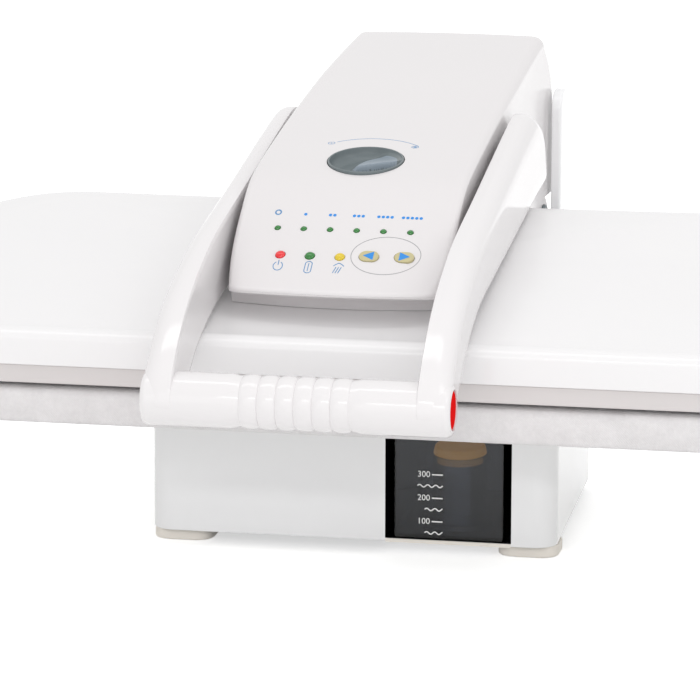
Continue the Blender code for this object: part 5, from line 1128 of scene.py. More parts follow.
def lower_outline():
    """Side outline of what is cut away below the housing, leaving a round lobe at the hinge."""
    floor = BELOW_HOUSING_Z
    rear = HOUSING_REAR_Y + LEAN * 2
    start = math.asin((HOUSING_REAR_BOTTOM_Z - HINGE[2]) / LOBE_RADIUS)
    end = -math.pi + math.asin((HINGE[2] - HOUSING_BOTTOM_Z) / LOBE_RADIUS)
    turn = np.linspace(start, end, 33)
    lobe = HINGE[1:] + LOBE_RADIUS * np.stack([np.cos(turn), np.sin(turn)], axis=1)
    head = np.array([(PANEL_EDGE_Y - 0.01, floor), (rear, floor), (rear, HOUSING_REAR_BOTTOM_Z)])
    return np.concatenate([head, lobe, [(PANEL_EDGE_Y - 0.01, HOUSING_BOTTOM_Z)]])


def hollow_housing(name, finish):
    """Housing with its wall, before anything else is cut from it."""
    made = new_object(name, grid_mesh(name, folded(housing_rows(0))), [finish])
    return carve(made, cutter(folded(housing_rows(HOUSING_WALL, 60, BELOW_HOUSING_Z)), finish))


def make_housing():
    """Housing: the hollow form less the head's top, the shafts, the panel's openings, the rear
    cover's place and what lies below it. The rear cover is cut from the same form."""
    # Darker copy of the white plastic: painted shade on the housing
    white = plastic("housing_plastic_painted_shade", finishes().housing, 0.14, 0.08)
    dark = dark_plastic()
    housing = hollow_housing("housing_skin", white)
    seat = shell_rows(SEAT_GAP, BELOW_HOUSING_Z)
    first = np.broadcast_to(seat[0].mean(axis=0), seat[0].shape)[None]
    carve(housing, cutter([(np.concatenate([first, seat]), True, False)], white))
    wide = sizes().housing_width
    # The shaft holes take the dark finish: painted shade on walls that are housing plastic
    for radius, spot in ((SHAFT_HOLE_RADIUS, PIVOT[1:]), (HINGE_HOLE_RADIUS, HINGE[1:])):
        carve(housing, cutter([rod(radius, -wide, wide, sideways(spot))], dark))
    for sign in (-1, 1):
        near, far = sorted((sign * (wide / 2 + 0.0008), sign * wide))
        carve(housing, cutter([rod(CAP_POCKET_RADIUS, near, far, sideways(HINGE[1:]), 64)], white))
    depth = FITTING_DEPTH
    normal = panel_axis()
    tools = [rod(KNOB_RADIUS + 0.0005, -depth, depth, knob_place(), 96)]
    tools += [
        rod(LED_RADIUS + FITTING_GAP, -depth, depth, place_at(spot, normal), 24) for spot in led_spots()
    ]
    tools += [
        rod(LAMP_RADIUS + FITTING_GAP, -depth, depth, place_at(spot_of(x, LAMP_RUN), normal), 32)
        for _, x in LAMPS
    ]
    opening = oval(BUTTON_LENGTH + FITTING_GAP * 2, BUTTON_WIDTH + FITTING_GAP * 2)
    tools += [slab(opening, place_at(spot_of(x, BUTTON_RUN), normal), -depth, depth) for _, x in BUTTONS]
    # The panel's openings take the dark finish: painted shade on walls of housing plastic round the knob,
    # lamps, lights and buttons
    carve(housing, cutter(tools, dark))
    rear = HOUSING_REAR_Y + LEAN * 2
    carve(housing, cutter([prism_grid(rear_outline(0), "Y", HOUSING_REAR_Y - 0.01, rear)], white))
    carve(housing, cutter([prism_grid(lower_outline(), "X", -wide, wide)], white))
    finish_piece(housing, "head", ("control_housing",), 32.0)
    cover = hollow_housing("rear_cover_skin", white)
    outline = rear_outline(0.0005)
    inside = HOUSING_REAR_Y - COVER_DEPTH
    carve(cover, cutter([prism_grid(outline, "Y", inside, rear)], white), "INTERSECT")
    middle = (outline[:, 1].min() + outline[:, 1].max()) / 2
    slots = []
    for z in middle + SLOT_PITCH * (np.arange(SLOT_COUNT) - (SLOT_COUNT - 1) / 2):
        slot = rounded_rectangle(-0.030, 0.030, z - 0.0015, z + 0.0015, 0.0014, 6, 2)
        slots.append(prism_grid(slot, "Y", inside, rear))
    # The slots take the dark finish: painted shade on walls that are cover plastic
    carve(cover, cutter(slots, dark))
    finish_piece(cover, "head", ("rear_cover",), 32.0)


# Panel fittings and printed marks


def dome(radius, proud, depth, place, count=40):
    """Round lens: an upright side under a quarter of an ellipse."""
    turn = np.linspace(0, math.pi / 2, 9)
    side = [(0, -depth), (radius, -depth)]
    profile = side + list(zip(radius * np.cos(turn), proud * np.sin(turn)))
    return lathe(profile, place, count)


def make_lamps():
    """Three lamps, and the status lights on their bar behind the panel."""
    normal = panel_axis()
    glow = {"red": 0.25, "green": 0.10, "yellow": 0.25}
    for name, x in LAMPS:
        grid = dome(LAMP_RADIUS, 0.0019, FITTING_DEPTH, place_at(spot_of(x, LAMP_RUN), normal))
        finish = lens_material(f"lens_{name}", getattr(finishes(), f"lamp_{name}"), glow[name])
        piece_of(f"lamp_{name}_lens", [grid], finish, "head", (f"lamp_{name}",))
    spots = led_spots()
    grids = [dome(LED_RADIUS, 0.0013, 0.0085, place_at(spot, normal), 28) for spot in spots]
    low, high = corners("status_lights")
    bar = rounded_rectangle(low[0], high[0], -0.003, 0.003, 0.001, 4, 2)
    grids.append(slab(bar, place_at(spots[0] * (0, 1, 1), normal), -0.0105, -0.0075))
    finish = lens_material("lens_green", finishes().lamp_green, 0.10)
    piece_of("status_light_lenses", grids, finish, "head", ("status_lights",))


def arrow(sign):
    """Triangle with slightly rounded corners that points to one side."""
    tip = np.array([(sign * 0.0037, 0), (-sign * 0.0029, 0.0037), (-sign * 0.0029, -0.0037)])
    return softened(tip, 0.0005, 4, closed=True)


def make_buttons():
    """Two oval buttons with a printed arrow each."""
    normal = panel_axis()
    tan = plastic("tan_plastic", finishes().tan, 0.40, 0.25, 1200.0, 0.00003)
    for name, x in BUTTONS:
        place = place_at(spot_of(x, BUTTON_RUN), normal)
        grid = slab(oval(BUTTON_LENGTH, BUTTON_WIDTH), place, -0.006, 0.0010, 0.0006, 6)
        body = f"button_{name}"
        piece_of(f"set_button_{name}_cap", [grid], tan, body, (f"set_button_{name}",))
        mark = slab(arrow(-1 if name == "left" else 1), place, 0.0008, 0.0010 + sizes().mark_lift)
        piece_of(f"set_button_{name}_arrow", [mark], azure_print(), body)


def strip(path, width, closed=False):
    """Printed line on the panel: a path of (x, run) widened to both sides and given the mark's
    thickness, each of its four edges a column of the grid."""
    step = np.roll(path, -1, axis=0) - np.roll(path, 1, axis=0) if closed else np.gradient(path, axis=0)
    step = step / np.linalg.norm(step, axis=1, keepdims=True)
    side = np.stack([-step[:, 1], step[:, 0]], axis=1) * (width / 2)
    left, right = path + side, path - side
    lift = sizes().mark_lift
    edges = [(left, -lift * 3), (right, -lift * 3), (right, lift), (left, lift)]
    grid = np.stack([on_panel(edge[:, 0], edge[:, 1], height) for edge, height in edges], axis=1)
    return (grid, True, True) if closed else (poled(grid), True, False)


def patch(outline):
    """Printed spot on the panel: an outline of (x, run) filled to its middle, top and bottom."""
    middle = np.broadcast_to(outline.mean(axis=0), outline.shape)
    lift = sizes().mark_lift
    rows = [(middle, lift), (outline, lift), (outline, -lift * 3), (middle, -lift * 3)]
    grid = np.stack([on_panel(shape[:, 0], shape[:, 1], height) for shape, height in rows])
    return grid, True, False


def around(centre, outline):
    """Outline in true panel lengths moved to a centre of (x, run); runs shorten by the slope."""
    return np.asarray(centre) + outline * (1, math.cos(sizes().panel_slope))


DOT_SPOTS = (-0.0256, -0.0088, 0.0074, 0.0238, 0.0402)
DOT_RUN = 0.0577
DOT_PITCH = 0.0027
OFF_RING_SPOT = (-0.0430, 0.0586)
SYMBOL_RUN = 0.0182
ARC_RADIUS = 0.0404
ARC_ENDS = (((-0.0276, 0.1465), 0.0006), ((0.0262, 0.1440), 0.0012))
SET_RING_SPOT = (0.0293, 0.0286)
HAIRLINE = 0.00042


def power_symbol():
    """Open ring and a stroke: a circle from 120 to 420 degrees and an upright line."""
    turn = np.linspace(math.radians(120), math.radians(420), 40)
    ring = np.stack([np.cos(turn), np.sin(turn)], axis=1) * (0.0029, 0.0038)
    stroke = np.column_stack([np.zeros(6), np.linspace(0.0008, 0.0052, 6)])
    return [ring, stroke]


def plate_symbol():
    """Upright stadium with a stroke inside."""
    stadium = oval(0.0100, 0.0042)[:, ::-1]
    stroke = np.column_stack([np.zeros(6), np.linspace(-0.0034, 0.0034, 6)])
    return [np.vstack([stadium, stadium[:1]]), stroke]


def steam_symbol():
    """Roof of a small cloud over three slanted strokes."""
    roof = softened([(-0.0036, 0.0005), (-0.0028, 0.0026), (0, 0.0048), (0.0028, 0.0026), (0.0036, 0.0005)],
                    [0, 0.0009, 0.0012, 0.0009, 0], 5)
    strokes = [
        np.column_stack([np.linspace(-0.0004, -0.0018, 6) + shift, np.linspace(0.0010, -0.0042, 6)])
        for shift in (-0.0010, 0.0006, 0.0022)
    ]
    return [roof] + strokes


def make_marks():
    """Setting dots, symbols, the arc over the knob and the ring round the buttons."""
    line = plastic("line_print", finishes().steel_blue, 0.35, 0.15)
    grey = plastic("grey_print", finishes().grey_print, 0.35, 0.15)
    dots = []
    for count, x in enumerate(DOT_SPOTS, start=1):
        for index in range(count):
            shift = DOT_PITCH * (index - (count - 1) / 2)
            dots.append(patch(around((x + shift, DOT_RUN), ellipse(0.00105, 0.00125, 24))))
    piece_of("setting_dots", dots, azure_print(), "head")
    lines = [strip(around(OFF_RING_SPOT, ellipse(0.0017, 0.0020, 40)), 0.0009, True)]
    for symbol, x in ((power_symbol(), -0.0350), (plate_symbol(), -0.0160), (steam_symbol(), 0.0025)):
        lines += [strip(around((x, SYMBOL_RUN), path), 0.00052) for path in symbol]
    turn = np.linspace(math.radians(127), math.radians(46), 60)
    arc = np.column_stack([np.cos(turn), np.sin(turn) * math.cos(sizes().deck_slope)]) * ARC_RADIUS
    lines.append(strip(np.array([0, PANEL_LENGTH]) + arc, 0.00048))
    for centre, inner in ARC_ENDS:
        lines.append(strip(np.asarray(centre) + ellipse(0.0021, 0.0021, 32), HAIRLINE, True))
        lines.append(patch(np.asarray(centre) + ellipse(inner, inner, 20)))
    piece_of("panel_symbols", lines, line, "head")
    ring = strip(around(SET_RING_SPOT, ellipse(0.0209, 0.0166, 120)), HAIRLINE, True)
    piece_of("set_ring", [ring], grey, "head")


# Steam knob

KNOB_DEPTH = 0.0095
CREST_START = np.array([-0.0102, -0.0167])
CREST_END = np.array([0.0236, 0.0013])
CREST_LENGTH = 0.038
CREST_BOW = 0.0012
CREST_WIDTH = 0.0022
WING_CENTRE = np.array([0.0275, -0.0085])
WING_RADIUS = 0.0385
WING_RISE = 0.0085
WING_DEPTH = 0.026
WING_FALL = 0.62
WING_SHARE = 0.60
WING_EDGE = 0.004

def smooth_step(share):
    """Smooth step from 0 to 1: 3t^2 - 2t^3."""
    t = np.clip(share, 0, 1)
    return t * t * (3 - 2 * t)


def knob_relief(x, y):
    """Height inside the dish: the floor, and a wing that rises from a bowed edge at the left and
    falls steeply behind its crest, both as smooth steps of the distance to a line or an arc."""
    dish = sizes().knob_dish
    along = CREST_END - CREST_START
    along = along / np.linalg.norm(along)
    across = np.array([-along[1], along[0]])
    spots = np.stack([x, y], axis=-1)
    run = (spots - CREST_START) @ along
    bowed = CREST_BOW * np.sin(np.clip(run / CREST_LENGTH, 0, 1) * math.pi)
    over = (spots - CREST_START) @ across - bowed
    inside = WING_RADIUS - np.linalg.norm(spots - WING_CENTRE, axis=-1)
    rise = smooth_step(inside / WING_RISE)
    steep = smooth_step(over / CREST_WIDTH + 0.5)
    fall = 1 - WING_FALL * np.clip(over / WING_DEPTH, 0, 1)
    return -dish + (dish + 0.0002) * rise * steep * fall


def knob_grid():
    """Knob over polar rows: the relief inside, a rounded rim at the edge and an upright side."""
    radii = np.linspace(0, 1, 44) ** 0.8 * (KNOB_RADIUS - 0.0012)
    turn = np.linspace(0, 2 * math.pi, 144, endpoint=False)
    x = radii[:, None] * np.cos(turn)
    y = radii[:, None] * np.sin(turn)
    bowl = np.clip((KNOB_RADIUS - 0.0012 - radii) / 0.0075, 0, 1)[:, None]
    bowl = np.sqrt(np.clip(1 - (1 - bowl) ** 2, 0, 1))
    inside = np.stack([x, y, knob_relief(x, y) * bowl + 0.0002 * (1 - bowl)], axis=-1)
    swing = np.linspace(0, math.pi, 9)[1:]
    rim_radius = KNOB_RADIUS - 0.0006 - 0.0006 * np.cos(swing)
    rim_height = 0.0002 + 0.0006 * np.sin(swing)
    side = [(KNOB_RADIUS, -KNOB_DEPTH), (0, -KNOB_DEPTH)]
    outer = np.concatenate([np.column_stack([rim_radius, rim_height]), side])
    rim = np.stack([
        outer[:, :1] * np.cos(turn), outer[:, :1] * np.sin(turn),
        np.broadcast_to(outer[:, 1:], (len(outer), len(turn))),
    ], axis=-1)
    return put(np.concatenate([inside, rim]), knob_place()), True, False


def make_knob():
    """Knob, and painted light on its wing: the faces above a share of the dish's depth, inside the rim, take
    a paler tone that stands in for the light on the wing's raised face.
    """
    grey = grey_plastic()
    dial = piece_of("steam_knob_dial", [knob_grid()], grey, "knob", ("steam_knob",), 50.0)
    # Second slot with a paler grey: painted light on the wing's lit faces
    dial.data.materials.append(plastic("grey_plastic_painted_light", finishes().knob_wing_painted_light, **KNOB_GRAIN))
    origin, axes = knob_place()
    for face in dial.data.polygons:
        x, y = (axes @ (np.asarray(face.center) - origin))[:2]
        raised = knob_relief(x, y) > -sizes().knob_dish * WING_SHARE
        face.material_index = int(raised and math.hypot(x, y) < KNOB_RADIUS - WING_EDGE)


# Yoke handle

RIB_PITCH = 0.0108
BAR_END_ROUND = 0.0040
BAR_RECESS = 0.0022
CAP_RADIUS = 0.0116
YOKE_INNER_X = 0.072
YOKE_ARM_WIDTH = 0.0194
BAR_END_X = 0.0914
BAR_SPOT = np.array([BOARD_FRONT_Y - 0.061, 0.128])
YOKE_SPAN = PIVOT[1] + 0.031 - BAR_SPOT[0]
YOKE_HEIGHT = 0.251 - BAR_SPOT[1]
ARM_TOP = (
    (0.952, 0.894), (0.931, 0.959), (0.878, 1.000), (0.756, 0.939), (0.642, 0.870), (0.456, 0.756),
    (0.279, 0.650), (0.180, 0.553), (0.106, 0.455), (0.050, 0.350), (0.008, 0.244),
)
ARM_BOTTOM = (
    (0.997, 0.580), (0.973, 0.565), (0.910, 0.545), (0.769, 0.485), (0.637, 0.431), (0.464, 0.366),
    (0.313, 0.309), (0.220, 0.244), (0.146, 0.163), (0.103, 0.089), (0.072, 0.022),
)
WRAP_TOP = ((-0.26, 1.42), (-0.58, 1.06), (-0.82, 0.70), (-0.965, 0.33), (-1.01, -0.10), (-0.80, -0.50))
WRAP_BOTTOM = ((1.18, -0.22), (0.94, -0.44), (0.72, -0.72), (0.44, -0.91), (0.10, -1.005), (-0.20, -0.92))
ARM_SPREAD = (
    0.84, 0.84, 0.84, 0.84, 0.84, 0.85, 0.87, 0.90, 0.93, 0.945, 0.955, 0.968, 0.980, 0.988, 0.992, 0.992,
    0.992,
)


def arm_section():
    """Section of an arm in unit shares across and down: four quarter ellipses of different size,
    the broad one over the outer upper edge, joined by straight sides."""
    parts = []
    for (across, down), (wide, tall), start in (
        ((0.05, 0.04), (0.05, 0.04), math.pi), ((0.30, 0.27), (0.70, 0.27), 1.5 * math.pi),
        ((0.72, 0.80), (0.28, 0.20), 0.0), ((0.10, 0.96), (0.10, 0.04), 0.5 * math.pi),
    ):
        turn = np.linspace(start, start + math.pi / 2, 11)
        parts.append(np.stack([across + wide * np.cos(turn), down + tall * np.sin(turn)], axis=1))
    section = np.concatenate(parts)
    closed = np.vstack([section, section[:1]])
    gap = np.concatenate([[0], np.cumsum(np.linalg.norm(np.diff(closed, axis=0), axis=1))])
    even = np.linspace(0, gap[-1], 73)[:-1]
    return np.stack([np.interp(even, gap, closed[:, axis]) for axis in (0, 1)], axis=1)


def arm_rows(sign):
    """Arm: the section carried along two smooth curves, its upper and its lower edge, which end by
    winding round the bar. The far end closes in a dome of shrinking sections."""
    scale = np.array([YOKE_SPAN, YOKE_HEIGHT])
    radius = sizes().bar_radius
    top = np.concatenate([np.asarray(ARM_TOP) * scale, np.asarray(WRAP_TOP) * radius]) + BAR_SPOT
    low = np.concatenate([np.asarray(ARM_BOTTOM) * scale, np.asarray(WRAP_BOTTOM) * radius]) + BAR_SPOT
    count = 150
    top, low = smooth_curve(top, count), smooth_curve(low, count)
    spread = smooth_curve(ARM_SPREAD, count)
    section = arm_section()
    across = YOKE_INNER_X + YOKE_ARM_WIDTH * spread * section[None, :, 0]
    down = section[None, :, 1, None]
    side = top[:, None, :] * (1 - down) + low[:, None, :] * down
    rows = np.concatenate([sign * across[..., None], side], axis=-1)
    middle = rows[0].mean(axis=0)
    outward = rows[0].mean(axis=0) - rows[2].mean(axis=0)
    outward /= np.linalg.norm(outward)
    swing = np.linspace(math.pi / 2, 0, 9)[:-1]
    ends = np.stack([
        middle + (rows[0] - middle) * (math.cos(turn) * 0.98 + 0.02) + outward * 0.004 * math.sin(turn)
        for turn in swing
    ])
    return np.concatenate([ends, rows])


def bar_profile():
    """Half profile of the bar from its end to its middle: recess, rounded rim and ribs, whose
    radius follows |cos| raised to soften the crests."""
    radius = sizes().bar_radius
    seat = CAP_RADIUS + SEAT_GAP
    swing = np.linspace(0, math.pi / 2, 9)
    rim = np.column_stack([
        radius - BAR_END_ROUND * (1 - np.sin(swing)), BAR_END_X - BAR_END_ROUND * (1 - np.cos(swing))
    ])
    half = RIB_PITCH * sizes().rib_count / 2
    x = np.linspace(half, -half, 40 * sizes().rib_count + 1)
    wave = np.abs(np.cos(math.pi * x / RIB_PITCH + math.pi / 2 * (sizes().rib_count % 2 == 0)))
    ribs = np.column_stack([radius - sizes().rib_height * (1 - wave ** 0.55), x])
    recess = [(0, BAR_END_X - BAR_RECESS), (seat, BAR_END_X - BAR_RECESS), (seat, BAR_END_X - 0.0004),
              (seat + 0.0004, BAR_END_X)]
    plain = np.column_stack([np.full(8, radius), np.linspace(BAR_END_X - BAR_END_ROUND, half, 10)[1:-1]])
    right = np.concatenate([recess, rim, plain])
    left = (right * (1, -1))[::-1]
    return np.concatenate([right, ribs, left])


def make_handle():
    """Yoke: the turned bar and two arms, joined without a Boolean, and a cap in each of the bar's ends."""
    white = white_plastic()
    bar = lathe(bar_profile(), sideways(BAR_SPOT), 96)
    yoke = new_object("yoke_skin", grid_mesh("yoke_skin", [bar]), [white])
    arms = []
    for sign in (-1, 1):
        arm = new_object("arm", grid_mesh("arm", [(poled(arm_rows(sign)), True, False)]), [white])
        recess = rod(
            CAP_RADIUS + SEAT_GAP, BAR_END_X - BAR_RECESS, BAR_END_X + OVERRUN, sideways(BAR_SPOT, sign), 64
        )
        arms.append(released_mesh(carve(arm, cutter([recess], white))))
    join_meshes(yoke.data, arms)
    finish_piece(yoke, "handle", ("yoke_handle",), 32.0)
    red = plastic("red_plastic", finishes().red, 0.40, 0.2, **NO_GLOSS)
    for side, sign in (("left", -1), ("right", 1)):
        low = BAR_END_X - BAR_RECESS + SEAT_GAP
        profile = softened(
            [(0, low), (CAP_RADIUS, low), (CAP_RADIUS, BAR_END_X - 0.0007), (0, BAR_END_X - 0.0001)],
            [0, 0.0002, 0.0010, 0], 6,
        )
        disc = lathe(profile, sideways(BAR_SPOT, sign), 64)
        name = f"grip_cap_{side}"
        piece_of(f"{name}_disc", [disc], red, "handle", (name,))


# Base, feet and rear tower

BASE_HALF_WIDTH = 0.1285
BASE_CORNER = 0.015
BASE_TOE_IN = 0.006
BASE_WALL = 0.003
BAY_LEFT_X = 0.022
BAY_RIGHT_X = 0.101
BAY_DEPTH = 0.120
BAY_FLOOR = 0.002
SOCKET_RISE = 0.018
SOCKET_RADIUS = 0.008


def base_outline(inset):
    """Plan of the base: a rectangle with round corners that narrows evenly to the back."""
    half = BASE_HALF_WIDTH
    front, back = BASE_LOW[1], BASE_HIGH[1]
    plan = rounded_rectangle(-half + inset, half - inset, front + inset, back - inset,
                             max(BASE_CORNER - inset, 0.002), 16, 12)
    share = (plan[:, 1] - front) / (back - front)
    plan[:, 0] *= 1 - BASE_TOE_IN / half * share
    return plan


def make_base():
    """Base: a hollow box, with the tank bay cut into a liner of its own, and the sill."""
    white = base_plastic_painted_light()
    dark = dark_plastic()
    low, high = BASE_LOW[2], BASE_HIGH[2]
    edge = sizes().base_edge
    solid = levels(
        softened([(0.05, low), (0, low), (0, high), (0.05, high)], [0, 0.0008, edge, 0], 5), base_outline
    )
    base = new_object("base_skin", grid_mesh("base_skin", [(poled(solid), True, False)]), [white])
    inside = levels([(BASE_WALL, low - OVERRUN), (BASE_WALL, high - BASE_WALL)], base_outline)
    hollow = cutter([(poled(inside), True, False)], white)
    liner = box_grid(
        (BAY_LEFT_X - BASE_WALL, BASE_LOW[1] - OVERRUN, low - 0.01),
        (BAY_RIGHT_X + BASE_WALL, BASE_LOW[1] + BAY_DEPTH + BASE_WALL, high),
    )
    carve(hollow, cutter([liner], white))
    carve(base, hollow)
    bay = box_grid(
        (BAY_LEFT_X, BASE_LOW[1] - OVERRUN, low + BAY_FLOOR),
        (BAY_RIGHT_X, BASE_LOW[1] + BAY_DEPTH, high - BASE_WALL),
    )
    carve(base, cutter([bay], dark))
    middle = (BAY_LEFT_X + BAY_RIGHT_X) / 2
    socket = place_at((middle, BASE_LOW[1] + BAY_DEPTH, low + BAY_FLOOR + SOCKET_RISE), (0, 1, 0))
    carve(base, cutter([rod(SOCKET_RADIUS, -OVERRUN, OVERRUN, socket, 32)], dark))
    finish_piece(base, "base", ("base_housing",), 32.0)
    sill = rounded_rectangle(
        BAY_LEFT_X + SEAT_GAP, BAY_RIGHT_X - SEAT_GAP, low - 0.0004, low + BAY_FLOOR - 0.0001, 0.0005, 4, 2
    )
    grid = prism_grid(sill, "Y", BASE_LOW[1] - 0.0006, BASE_LOW[1] + 0.0004)
    piece_of("bay_sill", [grid], cream_rubber(), "base")


FOOT_NODES = ("front_foot_left", "front_foot_right", "rear_foot_left", "rear_foot_right")


def make_feet():
    """Four half-round pads."""
    for name in FOOT_NODES:
        low, high = corners(name)
        reach = (high[1] - low[1]) / 2 - 0.0006

        def plan_at(inset):
            """Half-round pad: a rectangle whose two front corners are rounded by half its depth."""
            left, right, near, far = low[0] + inset, high[0] - inset, low[1] + inset, high[1] - inset
            return softened(
                [(right, far), (left, far), (left, near), (right, near)],
                [0.002, 0.002, reach, reach], 14, closed=True,
            )

        profile = softened(
            [(0.010, low[2]), (0, low[2]), (0, high[2]), (0.010, high[2])], [0, 0.0014, 0.0006, 0], 5
        )
        grid = (poled(levels(profile, plan_at)), True, False)
        piece_of(f"{name}_pad", [grid], cream_rubber(), "base", (name,))


TOWER_REAR_Y = TOWER_HIGH[1] + 0.00025
TOWER_CORNER = 0.012
EAR_DEPTH = 0.031
EAR_TOP_RADIUS = 0.013
EAR_THICKNESS = 0.0067
EAR_EDGE = 0.0022
TOWER_TOP_Z = 0.134
MOUTH_FORWARD = 0.028
REAR_WALL_TOP_Z = 0.146
INLET_HOLE_RADIUS = 0.0093


def tower_outline(inset):
    """Plan of the tower: square in front, rounded at the rear."""
    half = TOWER_HIGH[0] - inset
    back = TOWER_REAR_Y - inset
    front = TOWER_LOW[1] + inset
    rear = max(TOWER_CORNER - inset, 0.001) * 1.25
    near = max(0.003 - inset, 0.0005)
    plan = [(half, back), (-half, back), (-half, front), (half, front)]
    return softened(plan, [rear, rear, near, near], 12, closed=True)


def ear_rows(sign):
    """Ear at one side of the hinge: a rounded rectangle in Y and Z carried across the ear's
    thickness, drawn in at both faces, and held inside the tower's plan by the arc of its corner,
    rear - R + sqrt(R^2 - t^2)."""
    half = TOWER_HIGH[0]
    inner = half - EAR_THICKNESS
    rear = TOWER_REAR_Y
    middle = [(0.0, x) for x in np.linspace(inner + 0.0012, half - 0.0024, 5)]
    profile = softened(
        [(0.012, inner), (0, inner)] + middle + [(0, half), (0.012, half)],
        [0, 0.0008] + [0.0001] * 5 + [0.0020, 0], 6,
    )
    rows = []
    for inset, x in profile:
        side = rounded_rectangle(
            rear - EAR_DEPTH + inset, rear - inset, TOWER_TOP_Z - 0.014 + inset, TOWER_HIGH[2] - inset,
            max(EAR_TOP_RADIUS - inset, 0.001), 14, 12,
        )
        over = np.clip(x - (half - TOWER_CORNER), 0, TOWER_CORNER)
        limit = rear - TOWER_CORNER + math.sqrt(TOWER_CORNER ** 2 - over ** 2)
        side[:, 0] = np.minimum(side[:, 0], limit)
        rows.append(at_height(side, sign * x)[:, (2, 0, 1)])
    return np.stack(rows)


def make_tower():
    """Tower: a hollow body with the mouth and inlet hole cut, the rear wall and the ears added."""
    white = base_plastic_painted_light()
    rear = TOWER_REAR_Y
    low = TOWER_LOW[2]
    body = levels(
        softened([(0.03, low), (0, low), (0, TOWER_TOP_Z), (0.03, TOWER_TOP_Z)], [0, 0.0008, EAR_EDGE, 0], 6),
        tower_outline,
    )
    tower = new_object("tower_skin", grid_mesh("tower_skin", [(poled(body), True, False)]), [white])
    hollow = levels([(BASE_WALL, 0.0), (BASE_WALL, TOWER_TOP_Z - BASE_WALL)], tower_outline)
    carve(tower, cutter([(poled(hollow), True, False)], white))
    half = (sizes().housing_width - MOUTH_SIDE * 2) / 2
    mouth = box_grid(
        (-half, HINGE[1] - MOUTH_FORWARD, TOWER_TOP_Z - 0.007),
        (half, rear - BASE_WALL, TOWER_TOP_Z + OVERRUN),
    )
    carve(tower, cutter([mouth], white))
    inlet_low, inlet_high = corners("mains_inlet")
    spot = (inlet_low + inlet_high) / 2
    hole = place_at((spot[0], rear, spot[2]), (0, 1, 0))
    carve(tower, cutter([rod(INLET_HOLE_RADIUS, -0.01, 0.01, hole, 48)], white))
    wall = rounded_rectangle(rear - BASE_WALL, rear, TOWER_TOP_Z - 0.006, REAR_WALL_TOP_Z, 0.0013, 6, 2)
    reach = TOWER_HIGH[0] - EAR_THICKNESS + 0.0004
    ears = [(poled(ear_rows(sign)), True, False) for sign in (-1, 1)]
    join_meshes(tower.data, [grid_mesh("ears", [prism_grid(wall, "X", -reach, reach)] + ears)])
    finish_piece(tower, "base", ("rear_tower",), 32.0)
    inlet = place_at((spot[0], inlet_high[1], spot[2]), (0, 1, 0))
    deep = inlet_low[1] - inlet_high[1]
    collar = softened(
        [(0.004, deep), (0.009, deep), (0.009, -0.0005), (0.0078, 0.0), (0.0052, 0.0), (0.004, -0.0018)],
        [0.0003, 0.0003, 0.0004, 0.0004, 0.0005, 0.0008], 4, closed=True,
    )
    piece_of("mains_inlet_collar", [lathe(collar, inlet, 56, True)], dark_plastic(), "base",
             ("mains_inlet",))
    for side, sign in (("left", -1), ("right", 1)):
        inner, outer = sorted(abs(corner[0]) for corner in corners(f"hinge_cap_{side}"))
        profile = softened(
            [(0, inner + 0.0017), (0.0053, inner + 0.0017), (0.0053, inner), (0.0126, inner),
             (0.0126, outer - 0.0006), (0.0096, outer), (0.0088, outer - 0.0004), (0, outer - 0.0004)],
            [0, 0.0002, 0.0002, 0.0002, 0.0006, 0.0006, 0.0004, 0], 5,
        )
        disc = lathe(profile, sideways(HINGE[1:], sign), 64)
        name = f"hinge_cap_{side}"
        piece_of(f"{name}_disc", [disc], grey_plastic(), "base", (name,))


# Water tank

TANK_WALL = 0.0018
TANK_CORNER = 0.004
LID_THICKNESS = 0.0022


def tank_outline(inset):
    """Plan of the tank: a rectangle with small round corners."""
    return rounded_rectangle(
        TANK_LOW[0] + inset, TANK_HIGH[0] - inset, TANK_LOW[1] + inset, TANK_HIGH[1] - inset,
        max(TANK_CORNER - inset, 0.0008), 8, 3,
    )


def wavy(left, right, z, y):
    """Wave mark: a sine line between two widths, as a thin raised ribbon."""
    x = np.linspace(left, right, 60)
    line = z + 0.00075 * np.sin((x - left) / 0.0051 * 2 * math.pi)
    return ribbon(np.column_stack([x, line]), 0.0007, y)


def ribbon(path, width, y):
    """Line drawn on the tank's front: a path of (x, z) widened and given a small thickness."""
    step = np.gradient(path, axis=0)
    step = step / np.linalg.norm(step, axis=1, keepdims=True)
    side = np.stack([-step[:, 1], step[:, 0]], axis=1) * (width / 2)
    left, right = path + side, path - side
    grid = np.stack([
        np.stack([edge[:, 0], np.full(len(path), depth), edge[:, 1]], axis=1)
        for edge, depth in ((left, y), (right, y), (right, y - RIBBON_DEPTH), (left, y - RIBBON_DEPTH))
    ], axis=1)
    return poled(grid), True, False


def scale_number(text, right, z, y):
    """Number of the level scale as a mesh standing on the tank's front."""
    curve = bpy.data.curves.new("number", "FONT")
    curve.body = text
    curve.size = 0.0054
    curve.extrude = 0.00004
    curve.align_x = "RIGHT"
    curve.align_y = "CENTER"
    curve.resolution_u = 3
    shape = bpy.data.objects.new("number", curve)
    bpy.context.scene.collection.objects.link(shape)
    graph = bpy.context.evaluated_depsgraph_get()
    mesh = bpy.data.meshes.new_from_object(shape.evaluated_get(graph))
    bpy.data.objects.remove(shape)
    mesh.transform(Matrix.Translation((right, y, z)) @ Matrix.Rotation(math.pi / 2, 4, "X"))
    return mesh


LEVELS = ((0.0515, "300", 0.0158), (0.0366, "200", 0.0112), (0.0217, "100", 0.0112))
SCALE_RIGHT = 0.0580
RIBBON_DEPTH = 0.00008


